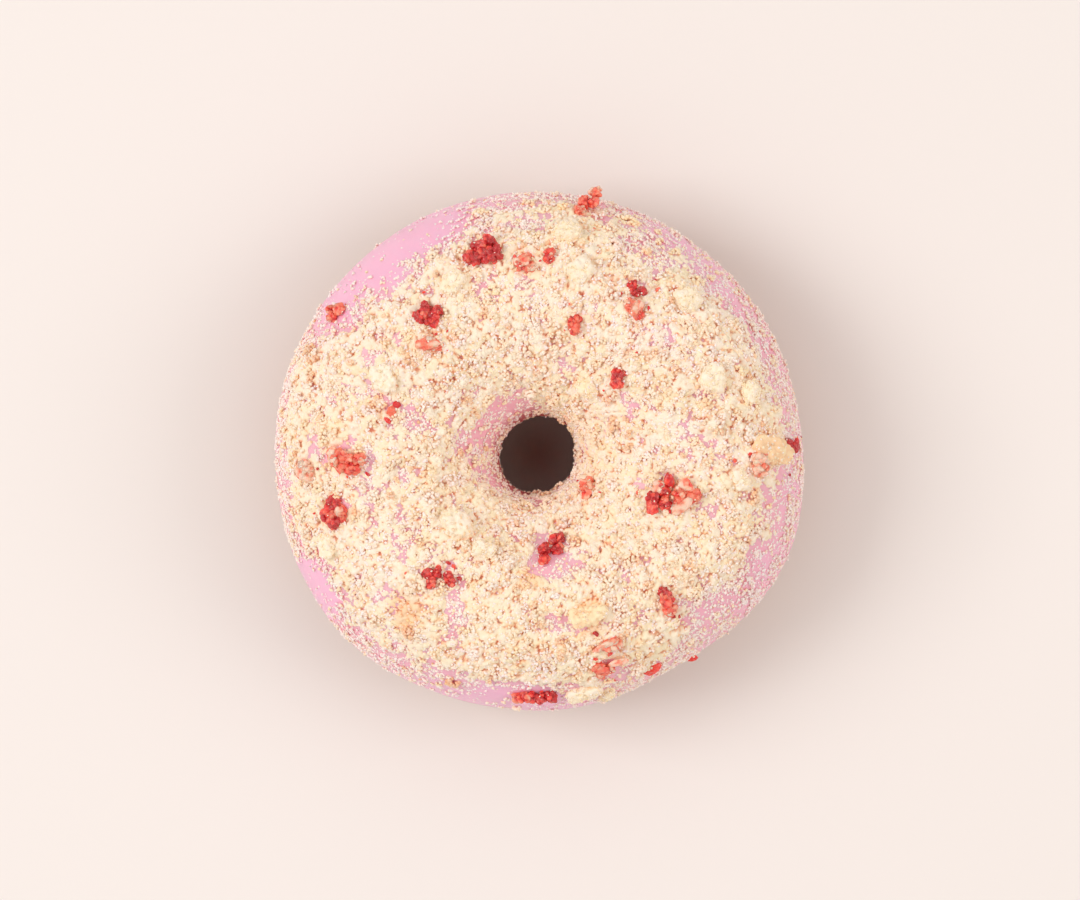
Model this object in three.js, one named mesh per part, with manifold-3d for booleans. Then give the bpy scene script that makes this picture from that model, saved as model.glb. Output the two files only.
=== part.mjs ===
// A raised ring doughnut, dipped in icing and strewn with biscuit crumbs and pieces of freeze-dried berry.
// Millimetres, +Z up. The origin is the middle of the ring, on the surface that the doughnut rests on.
//
// A place on the ring is given by two angles. "around" turns about +Z, from +X. "across" turns about the
// ring's own cross-section: 0 is the outermost line, 90 degrees the crown, and 180 degrees the hole.

import * as THREE from "three";
import { mergeVertices } from "three/addons/utils/BufferGeometryUtils.js";
import Module from "manifold-3d";

// ---- Driving dimensions -------------------------------------------------------------------------------

const RIM_RADIUS = 45.4; // of the dough, at its widest line
const HOLE_RADIUS = 9.15; // of the dough, at its narrowest line
const HOLE_SHIFT = { x: -0.1, y: -0.5 }; // the hole is a little off the middle
const HOLE_STRETCH = { amount: 0.3, towards: 45 };
const WAIST_HEIGHT = 15.6; // of the widest line, above the base
const CROWN_RISE = 17.6; // of the crown, above the widest line
const BELLY_DROP = 17.2; // of the round underside, which the base cuts flat
const CROWN_ROUNDNESS = 2.12; // exponent of the upper half of the section: 2 is an ellipse
const BELLY_ROUNDNESS = 2.5;

// The rim isn't a true circle. Each wave swells it at "waves" places, the first of them at "towards".
const RIM_WAVES = [
  { waves: 1, amount: 0.25, towards: 200 },
  { waves: 2, amount: 0.6, towards: 6 },
  { waves: 3, amount: 0.53, towards: 344 },
  { waves: 4, amount: 0.25, towards: 332 },
  { waves: 5, amount: 0.15, towards: 343 },
  { waves: 6, amount: 0.24, towards: 337 },
  { waves: 7, amount: 0.18, towards: 21 },
];
const CROWN_WAVES = [
  { waves: 2, amount: 0.4, towards: 75 },
  { waves: 3, amount: 0.3, towards: 20 },
];

const ICING_THICKNESS = 1.5;
const ICING_GAP = 0.3; // between the dough and the icing
const ICING_BEAD = 0.35; // extra thickness just above the lower edge
const ICING_OUTER_EDGE = -11; // degrees across: the icing ends a little under the widest line
const ICING_HOLE_EDGE = 187; // and a little under the hole's narrowest line
const EDGE_WAVES = [
  { waves: 5, amount: 2.2, towards: 40 },
  { waves: 8, amount: 1.6, towards: 10 },
  { waves: 13, amount: 1.1, towards: 5 },
];
const HOLE_EDGE_WAVES = -0.6; // the edge in the hole has the same waves, as much smaller and turned over
const EDGE_THICKNESS = 0.45; // of the very edge, as a share of the icing's
const CRUMB_BED = 0.45; // how much the crumbs that are too fine to model thicken the icing

const AROUND_STEPS = 60;
const ICING_STEPS = 12;
const BELLY_STEPS = 9; // across the dough that the icing leaves bare
const EDGE_ROW = 0.35; // how far in from its edge the icing is at full thickness, in steps
const BEAD_ROW = 0.7; // and how far in the bead is highest

// ---- Toppings -----------------------------------------------------------------------------------------

// Berry pieces: where they lie (degrees around, mm from the middle), their length and width, the way that
// their length points, and the number of lumps that they are made of. The one with a tip stands up by it.
const BERRIES = [
  { around: 79, radius: 43.9, length: 6.8, width: 3.2, turn: 50, lumps: 4, tip: 30 },
  { around: 105.5, radius: 36.4, length: 6.4, width: 4.8, turn: 10, lumps: 5 },
  { around: 94.5, radius: 33.0, length: 4.2, width: 3.6, turn: 100, lumps: 3 },
  { around: 87, radius: 34.4, length: 2.9, width: 2.4, turn: 70, lumps: 2 },
  { around: 146, radius: 43.6, length: 4.6, width: 3.6, turn: 160, lumps: 3 },
  { around: 129, radius: 31.0, length: 5.8, width: 4.2, turn: 170, lumps: 4 },
  { around: 135, radius: 27.3, length: 4.8, width: 3.2, turn: 5, lumps: 3 },
  { around: 59, radius: 33.0, length: 3.6, width: 2.7, turn: 150, lumps: 3 },
  { around: 56, radius: 30.3, length: 3.6, width: 3.0, turn: 100, lumps: 2 },
  { around: 74.5, radius: 23.8, length: 3.8, width: 2.2, turn: 105, lumps: 2 },
  { around: 43, radius: 19.7, length: 3.8, width: 2.4, turn: 80, lumps: 2 },
  { around: 183, radius: 33.8, length: 6.6, width: 4.2, turn: 175, lumps: 5 },
  { around: 184.5, radius: 41.0, length: 3.9, width: 3.4, turn: 90, lumps: 2 },
  { around: 197, radius: 37.7, length: 5.4, width: 4.6, turn: 60, lumps: 4 },
  { around: 229, radius: 29.1, length: 4.2, width: 3.4, turn: 60, lumps: 3 },
  { around: 235.5, radius: 27.6, length: 3.2, width: 2.4, turn: 120, lumps: 2 },
  { around: 276.5, radius: 17.8, length: 7.0, width: 3.6, turn: 48, lumps: 4 },
  { around: 323.5, radius: 11.9, length: 3.8, width: 3.6, turn: 80, lumps: 2 },
  { around: 343.5, radius: 26.9, length: 5.2, width: 4.4, turn: 30, lumps: 3 },
  { around: 339, radius: 22.9, length: 5.0, width: 4.2, turn: 100, lumps: 3 },
  { around: 1, radius: 44.2, length: 3.2, width: 2.8, turn: 120, lumps: 2 },
  { around: 357, radius: 38.7, length: 4.6, width: 4.2, turn: 60, lumps: 2 },
  { around: 310.5, radius: 34.0, length: 5.8, width: 2.8, turn: 100, lumps: 3 },
  { around: 286, radius: 39.8, length: 5.0, width: 3.8, turn: 160, lumps: 3 },
  { around: 290, radius: 35.8, length: 4.0, width: 3.0, turn: 30, lumps: 2 },
  { around: 269, radius: 42.9, length: 7.6, width: 3.0, turn: 175, lumps: 4 },
];

// The largest biscuit chunks, given in the same way.
const CHUNKS = [
  { around: 0.5, radius: 40.8, length: 8.0, width: 4.4, turn: 165 },
  { around: 77, radius: 32.5, length: 4.8, width: 4.0, turn: 40 },
  { around: 82.5, radius: 38.6, length: 4.6, width: 3.6, turn: 10 },
  { around: 220, radius: 20.0, length: 5.6, width: 4.4, turn: 120 },
  { around: 241, radius: 20.4, length: 4.0, width: 3.2, turn: 170 },
  { around: 154.5, radius: 30.2, length: 5.4, width: 4.4, turn: 110 },
  { around: 204, radius: 40.6, length: 4.4, width: 2.8, turn: 110 },
  { around: 280.5, radius: 43.2, length: 6.0, width: 3.2, turn: 5 },
  { around: 285.5, radius: 44.6, length: 4.6, width: 2.6, turn: 100 },
  { around: 286, radius: 29.8, length: 6.4, width: 3.4, turn: 10 },
  { around: 23, radius: 33.2, length: 4.8, width: 4.2, turn: 70 },
  { around: 15.5, radius: 38.6, length: 4.2, width: 3.4, turn: 80 },
  { around: 352, radius: 35.6, length: 4.0, width: 3.0, turn: 110 },
  { around: 45.5, radius: 37.2, length: 4.8, width: 4.0, turn: 20 },
  { around: 54, radius: 14.8, length: 3.8, width: 2.8, turn: 150 },
  { around: 117, radius: 33.4, length: 4.8, width: 3.4, turn: 40 },
];

// Crumbs fill the rest, the coarse ones first. They keep a distance from each other, and from the others.
const CRUMB_SIZES = [
  { count: 40, smallest: 2.4, largest: 3.2, apart: 7.4 },
  { count: 92, smallest: 1.7, largest: 2.3, apart: 4.0 },
];
const TOPPINGS_APART = 0.55; // of the sum of the sizes of a crumb and the berry or chunk next to it
const CRUMB_BAND = { from: 0.1, to: 0.92 }; // of the way from the icing's outer edge to the one in the hole
const CRUMB_SEED = 11;
const MOST_TRIES = 60000;
const TOPPING_HEIGHT = 0.72; // of a topping, as a share of its width
const TOPPING_SUNK = 0.3; // share of that height that is sunk in the icing
const CRUMB_SHARES = { length: 1.2, width: 0.95 }; // of a crumb's size
const CRUMB_ROUGHNESS = 0.12; // how far a crumb's corners stray, as a share of its size
const BERRY_ROUGHNESS = 0.08;
const LUMP_SHARES = { width: 0.62, length: 1.35, height: 0.95 }; // a lump's, of the room that it has
const TALLEST_LUMP = 2.75;

// Icing that stays nearly clear of crumbs: towards the rim, and in patches that are given by their middle
// (degrees around, mm from the middle of the ring), half-widths (degrees, mm) and how bare they are.
const RIM_COVER = { full: 42.5, none: 47.4 }; // mm from the middle
const PATCH_COVER = { none: 0.5, full: 1.3 }; // half-widths from the middle of a patch
const LEAST_COVER = 0.02;
const BARE_PATCHES = [
  { around: 128, radius: 45.5, wide: 26, deep: 7, bare: 1 },
  { around: 165, radius: 9.6, wide: 80, deep: 4, bare: 1 },
  { around: 45, radius: 46.5, wide: 28, deep: 5.5, bare: 0.8 },
  { around: 2, radius: 47.5, wide: 30, deep: 5, bare: 0.8 },
  { around: 322, radius: 46.5, wide: 18, deep: 6, bare: 0.75 },
  { around: 268, radius: 46.5, wide: 22, deep: 4.5, bare: 0.9 },
  { around: 240, radius: 47.5, wide: 18, deep: 4, bare: 0.9 },
  { around: 212, radius: 47, wide: 10, deep: 5, bare: 1 },
  { around: 278, radius: 18.4, wide: 13, deep: 4, bare: 0.9 },
  { around: 316, radius: 39.7, wide: 6, deep: 2.5, bare: 0.8 },
  { around: 288, radius: 40.5, wide: 5, deep: 3, bare: 0.7 },
  { around: 224, radius: 37.3, wide: 4, deep: 3, bare: 0.8 },
  { around: 218, radius: 31, wide: 5, deep: 2, bare: 0.7 },
  { around: 193, radius: 24.3, wide: 6, deep: 2.8, bare: 0.8 },
  { around: 175, radius: 34.2, wide: 4, deep: 3, bare: 0.8 },
  { around: 152, radius: 34.6, wide: 4, deep: 2.5, bare: 0.6 },
  { around: 3, radius: 29.4, wide: 4, deep: 3, bare: 0.7 },
  { around: 28, radius: 18.3, wide: 8, deep: 2.5, bare: 0.7 },
  { around: 76, radius: 14.9, wide: 12, deep: 2, bare: 0.6 },
];

// ---- The ring's surface -------------------------------------------------------------------------------

const radians = THREE.MathUtils.degToRad;
const random = THREE.MathUtils.seededRandom;
const between = (low, high) => low + (high - low) * random();

// The sum of some waves at an angle around the ring.
function ripple(waves, around) {
  return waves.reduce(
    (sum, w) => sum + w.amount * Math.cos(w.waves * (around - radians(w.towards))),
    0,
  );
}

function rimRadius(around) {
  return RIM_RADIUS + ripple(RIM_WAVES, around);
}

function holeRadius(around) {
  const shift = HOLE_SHIFT.x * Math.cos(around) + HOLE_SHIFT.y * Math.sin(around);
  const stretch = HOLE_STRETCH.amount * Math.cos(2 * (around - radians(HOLE_STRETCH.towards)));
  return HOLE_RADIUS + shift + stretch;
}

// A point on the dough. The section is a superellipse, fuller below than above, cut flat at the base.
function doughPoint(around, across) {
  const c = Math.cos(across);
  const s = Math.sin(across);
  const n = s > 0 ? CROWN_ROUNDNESS : BELLY_ROUNDNESS;
  const reach = (Math.abs(c) ** n + Math.abs(s) ** n) ** (-1 / n);
  const rise = s > 0 ? CROWN_RISE + ripple(CROWN_WAVES, around) : BELLY_DROP;
  const outer = rimRadius(around);
  const inner = holeRadius(around);
  const radius = (outer + inner) / 2 + ((outer - inner) / 2) * reach * c;
  const height = Math.max(0, WAIST_HEIGHT + rise * reach * s);
  return new THREE.Vector3(radius * Math.cos(around), radius * Math.sin(around), height);
}

// The direction straight out of the dough there.
function doughNormal(around, across) {
  const step = 1e-3;
  const alongRing = doughPoint(around + step, across).sub(doughPoint(around - step, across));
  const alongSection = doughPoint(around, across + step).sub(doughPoint(around, across - step));
  return alongRing.cross(alongSection).normalize();
}

function liftedPoint(around, across, lift) {
  return doughPoint(around, across).addScaledVector(doughNormal(around, across), lift);
}

// ---- Cover: how thickly crumbs lie, from 0 to 1 -------------------------------------------------------

function cover(point) {
  const radius = Math.hypot(point.x, point.y);
  const around = Math.atan2(point.y, point.x);
  const smooth = THREE.MathUtils.smoothstep;
  let share = 1 - smooth(radius, RIM_COVER.full, RIM_COVER.none);
  for (const patch of BARE_PATCHES) {
    const turned = Math.atan2(
      Math.sin(around - radians(patch.around)),
      Math.cos(around - radians(patch.around)),
    );
    const distance = Math.hypot(turned / radians(patch.wide), (radius - patch.radius) / patch.deep);
    share *= 1 - patch.bare * (1 - smooth(distance, PATCH_COVER.none, PATCH_COVER.full));
  }
  return share;
}

// ---- Meshes -------------------------------------------------------------------------------------------

// A closed surface from rings of points: each row is one loop around, and the rows close on themselves.
function closedGrid(rows) {
  const around = rows[0].length;
  const positions = rows.flat().flatMap((p) => [p.x, p.y, p.z]);
  const index = [];
  rows.forEach((_, i) => {
    const next = (i + 1) % rows.length;
    for (let j = 0; j < around; j++) {
      const k = (j + 1) % around;
      const [a, b, c, d] = [i * around + j, i * around + k, next * around + k, next * around + j];
      index.push(a, b, c, a, c, d);
    }
  });
  const geometry = new THREE.BufferGeometry();
  geometry.setAttribute("position", new THREE.Float32BufferAttribute(positions, 3));
  geometry.setIndex(index);
  return geometry;
}

function loop(pointAt) {
  return Array.from({ length: AROUND_STEPS }, (_, j) => pointAt((j / AROUND_STEPS) * 2 * Math.PI));
}

// Where the icing lies at a share of its way from the outer edge over the crown to the edge in the hole.
function icingAcross(around, share) {
  const wave = ripple(EDGE_WAVES, around);
  const outer = radians(ICING_OUTER_EDGE + wave);
  const inner = radians(ICING_HOLE_EDGE + wave * HOLE_EDGE_WAVES);
  return outer + (inner - outer) * share;
}

// The icing's thickness there: rounded off at both edges, with a bead above each.
function icingThickness(around, share) {
  const fromEdge = Math.min(share, 1 - share) * ICING_STEPS;
  const bead = ICING_BEAD * Math.max(0, 1 - Math.abs(fromEdge - BEAD_ROW));
  const rounded = fromEdge < EDGE_ROW / 2 ? EDGE_THICKNESS : 1;
  const bed = CRUMB_BED * cover(doughPoint(around, icingAcross(around, share)));
  return (ICING_THICKNESS + bead + bed) * rounded;
}

// The dough's rows are the icing's own where it lies on the dough, so the gap between them is even.
function doughGeometry() {
  const rows = [];
  for (let i = 0; i <= ICING_STEPS; i++) {
    rows.push(loop((around) => doughPoint(around, icingAcross(around, i / ICING_STEPS))));
  }
  for (let i = 1; i < BELLY_STEPS; i++) {
    const belowIcing = (around) => {
      const inner = icingAcross(around, 1);
      const outer = icingAcross(around, 0) + 2 * Math.PI;
      return inner + (outer - inner) * (i / BELLY_STEPS);
    };
    rows.push(loop((around) => doughPoint(around, belowIcing(around))));
  }
  return closedGrid(rows);
}

function icingGeometry() {
  const outside = [];
  const inside = [];
  const shares = [0, EDGE_ROW / ICING_STEPS];
  for (let i = 1; i < ICING_STEPS; i++) shares.push(i / ICING_STEPS);
  shares.push(1 - EDGE_ROW / ICING_STEPS, 1);
  const place = (around, share, lift) => {
    return liftedPoint(around, icingAcross(around, share), ICING_GAP + lift);
  };
  for (const share of shares) {
    outside.push(loop((around) => place(around, share, icingThickness(around, share))));
  }
  for (let i = ICING_STEPS; i >= 0; i--) {
    inside.push(loop((around) => place(around, i / ICING_STEPS, 0)));
  }
  return closedGrid([...outside, ...inside]);
}

// ---- Toppings as solids -------------------------------------------------------------------------------

const wasm = await Module();
wasm.setup();

function toSolid(geometry) {
  const bare = new THREE.BufferGeometry();
  bare.setAttribute("position", geometry.getAttribute("position"));
  bare.setIndex(geometry.getIndex());
  const merged = mergeVertices(bare, 1e-4);
  return new wasm.Manifold(
    new wasm.Mesh({
      numProp: 3,
      vertProperties: new Float32Array(merged.getAttribute("position").array),
      triVerts: new Uint32Array(merged.getIndex().array),
    }),
  );
}

function toGeometry(solid) {
  const mesh = solid.getMesh();
  const positions = [];
  for (let i = 0; i < mesh.numVert; i++) {
    positions.push(...mesh.vertProperties.subarray(i * mesh.numProp, i * mesh.numProp + 3));
  }
  const geometry = new THREE.BufferGeometry();
  geometry.setAttribute("position", new THREE.Float32BufferAttribute(positions, 3));
  geometry.setIndex(new THREE.BufferAttribute(new Uint32Array(mesh.triVerts), 1));
  return geometry;
}

// The place on top of the icing at a distance from the middle, found by halving the way from rim to hole.
function placeOnIcing(around, radius) {
  let low = 0;
  let high = Math.PI;
  for (let i = 0; i < 30; i++) {
    const middle = (low + high) / 2;
    const point = liftedPoint(around, middle, ICING_THICKNESS);
    if (Math.hypot(point.x, point.y) > radius) low = middle;
    else high = middle;
  }
  return low;
}

// Axes for a topping: Z straight out of the icing, X turned from +X as seen from above and tipped up.
function frameAt(around, across, turn, lift, tip = 0) {
  const out = doughNormal(around, across);
  const flat = new THREE.Vector3(Math.cos(turn), Math.sin(turn), 0);
  const side = new THREE.Vector3().crossVectors(out, flat).normalize();
  const along = new THREE.Vector3().crossVectors(side, out);
  const matrix = new THREE.Matrix4().makeBasis(along, side, out);
  matrix.multiply(new THREE.Matrix4().makeRotationY(-tip));
  return matrix.setPosition(liftedPoint(around, across, lift));
}

const ROUND_SHAPE = new THREE.IcosahedronGeometry(0.5, 0); // twenty faces, for lumps and chunks
const CRUMB_SHAPE = new THREE.SphereGeometry(0.5, 5, 2); // a five-sided double pyramid, for crumbs

// One rough lump: a shape of unit size with every corner pushed in or out a little.
function lump(shape, length, width, height, roughness) {
  const geometry = mergeVertices(shape.clone().deleteAttribute("normal").deleteAttribute("uv"), 1e-4);
  const corners = geometry.getAttribute("position");
  for (let i = 0; i < corners.count; i++) {
    const corner = new THREE.Vector3().fromBufferAttribute(corners, i);
    corner.multiplyScalar(1 + between(-roughness, roughness));
    corners.setXYZ(i, corner.x, corner.y, corner.z);
  }
  geometry.rotateX(between(0, Math.PI)).rotateZ(between(0, 2 * Math.PI));
  return geometry.scale(length, width, height);
}

// How high a topping's middle stands over the dough, so that its sunk share is in the icing.
function restingLift(height) {
  return ICING_GAP + ICING_THICKNESS + height * (0.5 - TOPPING_SUNK);
}

function crumbSolid(shape, around, across, turn, length, width) {
  const height = width * TOPPING_HEIGHT;
  const geometry = lump(shape, length, width, height, CRUMB_ROUGHNESS);
  return toSolid(geometry.applyMatrix4(frameAt(around, across, turn, restingLift(height))));
}

// A berry piece is a row of lumps that overlap, set alternately to either side of its length.
function berrySolids({ around, radius, length, width, turn, lumps, tip = 0 }) {
  const a = radians(around);
  const across = placeOnIcing(a, radius);
  const size = Math.max(width * LUMP_SHARES.width, (length / lumps) * LUMP_SHARES.length);
  const height = Math.min(size * LUMP_SHARES.height, TALLEST_LUMP);
  const lift = restingLift(height) + (Math.sin(radians(tip)) * (length - size)) / 2;
  const place = frameAt(a, across, radians(turn), lift, radians(tip));
  return Array.from({ length: lumps }, (_, i) => {
    const along = lumps > 1 ? (i / (lumps - 1) - 0.5) * (length - size) : 0;
    const aside = (i % 2 ? 0.5 : -0.5) * Math.max(0, width - size);
    const geometry = lump(ROUND_SHAPE, size, size, height, BERRY_ROUGHNESS);
    geometry.translate(along, aside, 0);
    return toSolid(geometry.applyMatrix4(place));
  });
}

// Crumbs are thrown at random, and stay where the cover is thick and no other topping lies too close.
function crumbPlaces() {
  random(CRUMB_SEED);
  const taken = [...BERRIES, ...CHUNKS].map(({ around, radius, length, width }) => {
    const a = radians(around);
    const spot = liftedPoint(a, placeOnIcing(a, radius), ICING_THICKNESS);
    return { spot, size: (length + width) / 2 };
  });
  const crumbs = [];
  for (const { count, smallest, largest, apart } of CRUMB_SIZES) {
    let left = count;
    for (let tries = 0; left > 0 && tries < MOST_TRIES; tries++) {
      const around = between(0, 2 * Math.PI);
      const across = icingAcross(around, between(CRUMB_BAND.from, CRUMB_BAND.to));
      const size = between(smallest, largest);
      const turn = between(0, Math.PI);
      const [evenly, chosen] = [random(), random()];
      const spot = liftedPoint(around, across, ICING_THICKNESS);
      const touches = (t) => t.spot.distanceTo(spot) < (t.size + size) * TOPPINGS_APART;
      const crowds = (t) => t.spot.distanceTo(spot) < apart;
      if (evenly * RIM_RADIUS > Math.hypot(spot.x, spot.y) || chosen > cover(spot) + LEAST_COVER) continue;
      if (taken.some(touches) || crumbs.some(crowds)) continue;
      crumbs.push({ spot, around, across, size, turn });
      left--;
    }
  }
  return crumbs;
}

function toppingSolids() {
  const crumbs = crumbPlaces().map(({ around, across, size, turn }) => {
    const [length, width] = [size * CRUMB_SHARES.length, size * CRUMB_SHARES.width];
    return crumbSolid(CRUMB_SHAPE, around, across, turn, length, width);
  });
  const chunks = CHUNKS.map(({ around, radius, length, width, turn }) => {
    const a = radians(around);
    return crumbSolid(ROUND_SHAPE, a, placeOnIcing(a, radius), radians(turn), length, width);
  });
  return [...BERRIES.flatMap(berrySolids), ...chunks, ...crumbs];
}

// The icing with all its toppings fused on. The largest body is kept, which drops scraps and fills hollows.
function icingWithToppings() {
  const joined = wasm.Manifold.union([toSolid(icingGeometry()), ...toppingSolids()]);
  const bodies = joined.decompose();
  const whole = bodies.reduce((best, body) => (body.volume() > best.volume() ? body : best));
  return toGeometry(whole);
}

// ---- The doughnut -------------------------------------------------------------------------------------

const doughMaterial = new THREE.MeshStandardMaterial({ color: "#b9793f", roughness: 0.75, metalness: 0 });
const icingMaterial = new THREE.MeshStandardMaterial({ color: "#efadc6", roughness: 0.4, metalness: 0 });

const dough = new THREE.Mesh(doughGeometry(), doughMaterial);
dough.name = "dough_ring";

const icing = new THREE.Mesh(icingWithToppings(), icingMaterial);
icing.name = "icing_with_toppings";

const doughnut = new THREE.Group();
doughnut.add(dough, icing);

export default doughnut;
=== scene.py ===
"""A raised ring doughnut: pink icing over fried dough, strewn with biscuit crumbs and freeze-dried berry.

Lengths are in millimetres, and turn into metres where a mesh is made. A place on the ring is given by two
angles: "around" turns about +Z from +X, and "across" turns about the ring's own cross-section, with 0 at the
outermost line, 90 degrees at the crown and 180 in the hole.
"""

import math
from itertools import product

import bpy
import numpy as np
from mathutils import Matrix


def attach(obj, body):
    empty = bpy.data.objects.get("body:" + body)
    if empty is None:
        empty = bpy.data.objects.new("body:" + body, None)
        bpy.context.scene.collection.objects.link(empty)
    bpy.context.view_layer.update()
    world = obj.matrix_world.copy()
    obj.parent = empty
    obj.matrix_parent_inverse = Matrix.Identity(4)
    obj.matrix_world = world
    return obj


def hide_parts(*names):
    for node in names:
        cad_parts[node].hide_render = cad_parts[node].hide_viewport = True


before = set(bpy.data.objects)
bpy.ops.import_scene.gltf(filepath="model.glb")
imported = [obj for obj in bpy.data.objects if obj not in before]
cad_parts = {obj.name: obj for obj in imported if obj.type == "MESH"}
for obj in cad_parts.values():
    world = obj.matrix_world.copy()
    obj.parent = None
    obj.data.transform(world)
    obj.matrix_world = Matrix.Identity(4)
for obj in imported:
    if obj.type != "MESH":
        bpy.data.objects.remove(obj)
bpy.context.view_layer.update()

MM = 0.001
TURN = 2 * math.pi
STEP = 1e-3  # of angle, from which slopes are taken
HALVINGS = 30

# ---- The ring, as the solids have it --------------------------------------------------------------------

RIM_RADIUS = 45.4
HOLE_RADIUS = 9.15
HOLE_SHIFT = (-0.1, -0.5)
HOLE_STRETCH = (0.3, 45)  # amount, towards
WAIST_HEIGHT = 15.6
CROWN_RISE = 17.6
BELLY_DROP = 17.2
CROWN_ROUNDNESS = 2.12
BELLY_ROUNDNESS = 2.5

# How often each wave swells the ring, by how much, and towards which angle.
RIM_WAVES = (
    (1, 0.25, 200),
    (2, 0.6, 6),
    (3, 0.53, 344),
    (4, 0.25, 332),
    (5, 0.15, 343),
    (6, 0.24, 337),
    (7, 0.18, 21),
)
CROWN_WAVES = ((2, 0.4, 75), (3, 0.3, 20))
EDGE_WAVES = ((5, 2.2, 40), (8, 1.6, 10), (13, 1.1, 5))

ICING_GAP = 0.3
ICING_THICKNESS = 1.5
ICING_BEAD = 0.35
ICING_OUTER_EDGE = -11
ICING_HOLE_EDGE = 187
HOLE_EDGE_WAVES = -0.6
ICING_TOP = ICING_GAP + ICING_THICKNESS

# Berry pieces: around, radius, length, width, turn, lumps, tip, and their colour from 0, deep red, to 1,
# pale salmon.
BERRIES = (
    (79, 43.9, 6.8, 3.2, 50, 4, 30, 0.55),
    (105.5, 36.4, 6.4, 4.8, 10, 5, 0, 0.05),
    (94.5, 33.0, 4.2, 3.6, 100, 3, 0, 0.75),
    (87, 34.4, 2.9, 2.4, 70, 2, 0, 0.25),
    (146, 43.6, 4.6, 3.6, 160, 3, 0, 0.7),
    (129, 31.0, 5.8, 4.2, 170, 4, 0, 0.15),
    (135, 27.3, 4.8, 3.2, 5, 3, 0, 0.75),
    (59, 33.0, 3.6, 2.7, 150, 3, 0, 0.1),
    (56, 30.3, 3.6, 3.0, 100, 2, 0, 0.6),
    (74.5, 23.8, 3.8, 2.2, 105, 2, 0, 0.55),
    (43, 19.7, 3.8, 2.4, 80, 2, 0, 0.3),
    (183, 33.8, 6.6, 4.2, 175, 5, 0, 0.6),
    (184.5, 41.0, 3.9, 3.4, 90, 2, 0, 0.9),
    (197, 37.7, 5.4, 4.6, 60, 4, 0, 0.4),
    (229, 29.1, 4.2, 3.4, 60, 3, 0, 0.1),
    (235.5, 27.6, 3.2, 2.4, 120, 2, 0, 0.4),
    (276.5, 17.8, 7.0, 3.6, 48, 4, 0, 0.05),
    (323.5, 11.9, 3.8, 3.6, 80, 2, 0, 0.6),
    (343.5, 26.9, 5.2, 4.4, 30, 3, 0, 0.5),
    (339, 22.9, 5.0, 4.2, 100, 3, 0, 0.1),
    (1, 44.2, 3.2, 2.8, 120, 2, 0, 0.0),
    (357, 38.7, 4.6, 4.2, 60, 2, 0, 0.95),
    (310.5, 34.0, 5.8, 2.8, 100, 3, 0, 0.35),
    (286, 39.8, 5.0, 3.8, 160, 3, 0, 0.5),
    (290, 35.8, 4.0, 3.0, 30, 2, 0, 0.7),
    (269, 42.9, 7.6, 3.0, 175, 4, 0, 0.35),
)
BERRY_LUMP = (0.62, 1.35, 0.95)  # shares of the piece's width and length, and height over width
TALLEST_LUMP = 2.75

# Flat flakes on or by the berry pieces: x, y, length, width, turn, tip and colour.
SLABS = (
    (26.0, -6.0, 3.4, 2.9, 80, 12, 0.86),
    (21.6, -6.2, 2.9, 2.4, 95, -14, 0.98),
    (25.3, -9.5, 4.8, 2.2, 42, 10, 0.9),
    (20.4, -9.9, 2.9, 2.4, 110, 0, 0.35),
    (23.2, -5.0, 2.7, 1.8, 100, 20, 0.15),
    (11.3, -33.6, 5.2, 1.5, 29, 8, 0.92),
    (13.6, -36.6, 4.0, 1.5, 15, 6, 0.96),
    (10.5, -37.8, 3.8, 1.7, 165, 0, 0.5),
    (-19.6, 19.1, 4.4, 2.4, 5, 0, 0.82),
    (-36.0, -0.4, 2.9, 2.3, 60, 6, 0.84),
    (17.1, 25.1, 3.3, 2.6, 60, 0, 0.74),
    (-3.2, 33.2, 3.0, 2.4, 20, 6, 0.84),
    (38.8, -2.2, 3.4, 2.4, 70, 6, 0.9),
    (-41.3, -3.4, 3.0, 2.4, 80, 0, 0.84),
    (44.8, 1.0, 2.8, 2.3, 60, 8, 0.02),
)
SLAB_RISE = 1.15
# Scraps by the berry pieces: x, y and length.
SPECKS = ((-26.1, 7.2, 2.4), (-25.2, 8.4, 1.6), (-26.8, 5.6, 1.4), (20.1, -38.5, 3.4), (27.7, -37.4, 2.6))

# The largest biscuit chunks: around, radius, length, width, turn, and how toasted they are.
CHUNKS = (
    (0.5, 40.8, 8.0, 4.4, 165, 0.75),
    (77, 32.5, 4.8, 4.0, 40, 0.05),
    (82.5, 38.6, 4.6, 3.6, 10, 0.2),
    (220, 20.0, 5.6, 4.4, 120, 0.1),
    (241, 20.4, 4.0, 3.2, 170, 0.05),
    (154.5, 30.2, 5.4, 4.4, 110, 0.0),
    (204, 40.6, 4.4, 2.8, 110, 0.1),
    (280.5, 43.2, 6.0, 3.2, 5, 0.1),
    (285.5, 44.6, 4.6, 2.6, 100, 0.3),
    (286, 29.8, 6.4, 3.4, 10, 0.55),
    (23, 33.2, 4.8, 4.2, 70, 0.1),
    (15.5, 38.6, 4.2, 3.4, 80, 0.2),
    (352, 35.6, 4.0, 3.0, 110, 0.1),
    (45.5, 37.2, 4.8, 4.0, 20, 0.15),
    (54, 14.8, 3.8, 2.8, 150, 0.3),
    (117, 33.4, 4.8, 3.4, 40, 0.2),
)

# Crumbs that the solids have too: count, smallest, largest, and how far apart they lie.
CRUMB_SIZES = ((40, 2.4, 3.2, 7.4), (92, 1.7, 2.3, 4.0))
TOPPINGS_APART = 0.55
CRUMB_BAND = (0.1, 0.92)
CRUMB_SEED = 11
MOST_TRIES = 60000
COARSE_SIZE = 2.4
TOPPING_HEIGHT = 0.72
TOPPING_SUNK = 0.3

# Strewn crumbs: random places at a time, the angles across between which they lie, and more area, in
# square mm to a square radian, than any place has.
THROWS = 40000
THROWN_BETWEEN = (-14, 190)
MOST_AREA = 1150

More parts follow.
